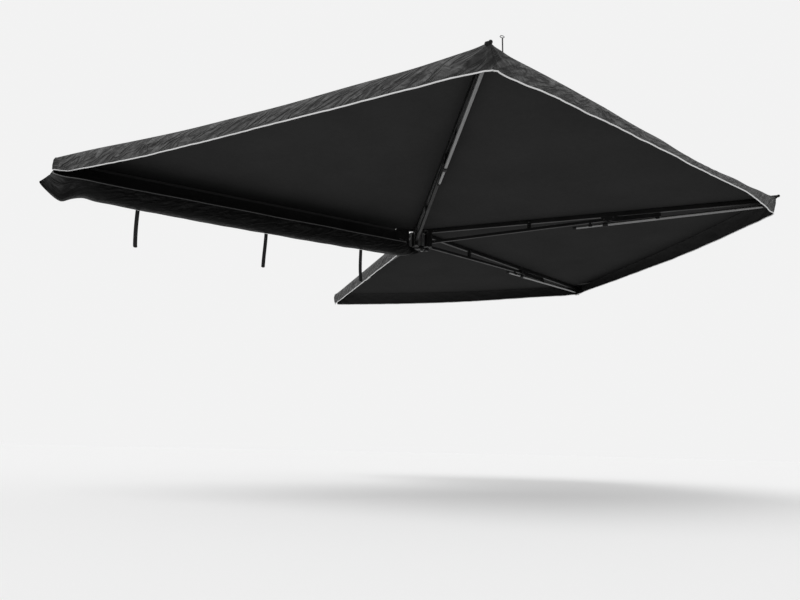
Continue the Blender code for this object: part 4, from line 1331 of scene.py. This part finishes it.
def backdrop_nodes(tree, strength, seen_colour):
    """Light for the object, and the pale backdrop for what sees it directly or in a reflection."""
    nodes = tree.nodes
    output = nodes["World Output"]
    light = nodes["Background"]
    feed(tree, light, {"Color": (1, 1, 1, 1), "Strength": strength})
    seen = nodes.new("ShaderNodeBackground")
    seen.inputs["Color"].default_value = (*seen_colour, 1)
    path = nodes.new("ShaderNodeLightPath")
    rays = path.outputs
    glossy = math_node(tree, "MAXIMUM", rays["Is Glossy Ray"], rays["Is Transmission Ray"])
    direct = math_node(tree, "MAXIMUM", rays["Is Camera Ray"], glossy)
    mix = nodes.new("ShaderNodeMixShader")
    feed(tree, mix, {0: direct, 1: light.outputs[0], 2: seen.outputs[0]})
    tree.links.new(mix.outputs[0], output.inputs[0])


class AWNING_OT_stage(bpy.types.Operator):
    """Set up the floor, the backdrop, the lights and the camera"""

    bl_idname = "awning.stage"
    bl_label = "Stage"

    def execute(self, context):
        stage = context.scene.awning_stage
        self.floor(stage)
        self.lights(context, stage)
        self.camera(context)
        context.scene.view_settings.view_transform = "Standard"
        return {"FINISHED"}

    def floor(self, stage):
        bm = bmesh.new()
        bmesh.ops.create_grid(bm, x_segments=4, y_segments=4, size=60)
        bmesh.ops.translate(bm, verts=bm.verts[:], vec=(0, 0, stage.floor_level))
        mesh = bpy.data.meshes.new("studio_floor")
        bm.to_mesh(mesh)
        bm.free()
        floor = bpy.data.objects.new("studio_floor", mesh)
        bpy.context.scene.collection.objects.link(floor)
        material, tree, shader = start_material("studio_floor", 0.9, specular=0.1)
        shaded = [(1 - FLOOR_GLOW) * part for part in stage.floor]
        feed(tree, shader, {
            "Base Color": (*shaded, 1),
            "Emission Color": (*stage.backdrop, 1),
            "Emission Strength": FLOOR_GLOW,
        })
        mesh.materials.append(material)

    def lights(self, context, stage):
        world = bpy.data.worlds.new("studio")
        world.use_nodes = True
        context.scene.world = world
        backdrop_nodes(world.node_tree, stage.sky, stage.backdrop)
        lamp = bpy.data.lights.new("key", "SUN")
        lamp.energy = stage.key
        lamp.angle = KEY_SPREAD
        holder = bpy.data.objects.new("key", lamp)
        holder.rotation_euler = KEY_TURN
        context.scene.collection.objects.link(holder)

    def camera(self, context):
        camera = bpy.data.cameras.new("camera")
        camera.lens = CAMERA_LENS
        camera.sensor_width = 36.0
        camera.clip_start = 0.05
        camera.clip_end = 200.0
        holder = bpy.data.objects.new("camera", camera)
        context.scene.collection.objects.link(holder)
        forward = Vector((
            -math.sin(CAMERA_AZIMUTH) * math.cos(CAMERA_ELEVATION),
            math.cos(CAMERA_AZIMUTH) * math.cos(CAMERA_ELEVATION),
            math.sin(CAMERA_ELEVATION),
        ))
        right = Vector((math.cos(CAMERA_AZIMUTH), math.sin(CAMERA_AZIMUTH), 0))
        upright = Matrix((right, right.cross(forward), -forward)).transposed()
        roll = Matrix.Rotation(CAMERA_ROLL, 3, "Z")
        holder.matrix_world = Matrix.Translation(CAMERA_PLACE) @ (upright @ roll).to_4x4()
        context.scene.camera = holder


class AWNING_PT_panel(bpy.types.Panel):
    """Lists the awning's steps and sizes"""

    bl_idname = "AWNING_PT_panel"
    bl_label = "Vehicle Side Awning"
    bl_space_type = "VIEW_3D"
    bl_region_type = "UI"
    bl_category = "Awning"

    def draw(self, context):
        layout = self.layout
        for holder in GROUPS:
            group = getattr(context.scene, holder)
            box = layout.box()
            for name in group.__annotations__:
                box.prop(group, name)
        for operator in OPERATORS:
            layout.operator(operator.bl_idname)


GROUPS = {"awning_cloth": AwningCloth, "awning_colours": AwningColours, "awning_stage": AwningStage}
OPERATORS = (
    AWNING_OT_finishes,
    AWNING_OT_canopy,
    AWNING_OT_valance,
    AWNING_OT_travel_bag,
    AWNING_OT_straps,
    AWNING_OT_fasteners,
    AWNING_OT_stage,
)


def register():
    for name, group in GROUPS.items():
        bpy.utils.register_class(group)
        setattr(bpy.types.Scene, name, bpy.props.PointerProperty(type=group))
    for operator in OPERATORS:
        bpy.utils.register_class(operator)
    bpy.utils.register_class(AWNING_PT_panel)


def unregister():
    bpy.utils.unregister_class(AWNING_PT_panel)
    for operator in reversed(OPERATORS):
        bpy.utils.unregister_class(operator)
    for name, group in GROUPS.items():
        delattr(bpy.types.Scene, name)
        bpy.utils.unregister_class(group)


def main():
    register()
    for obj in [o for o in bpy.data.objects if o.type in ("LIGHT", "CAMERA")]:
        bpy.data.objects.remove(obj, do_unlink=True)
    bpy.ops.awning.finishes()
    bpy.ops.awning.canopy()
    bpy.ops.awning.valance()
    bpy.ops.awning.travel_bag()
    bpy.ops.awning.straps()
    bpy.ops.awning.fasteners()
    bpy.ops.awning.stage()
    bpy.context.view_layer.update()


if __name__ == "__main__":
    main()
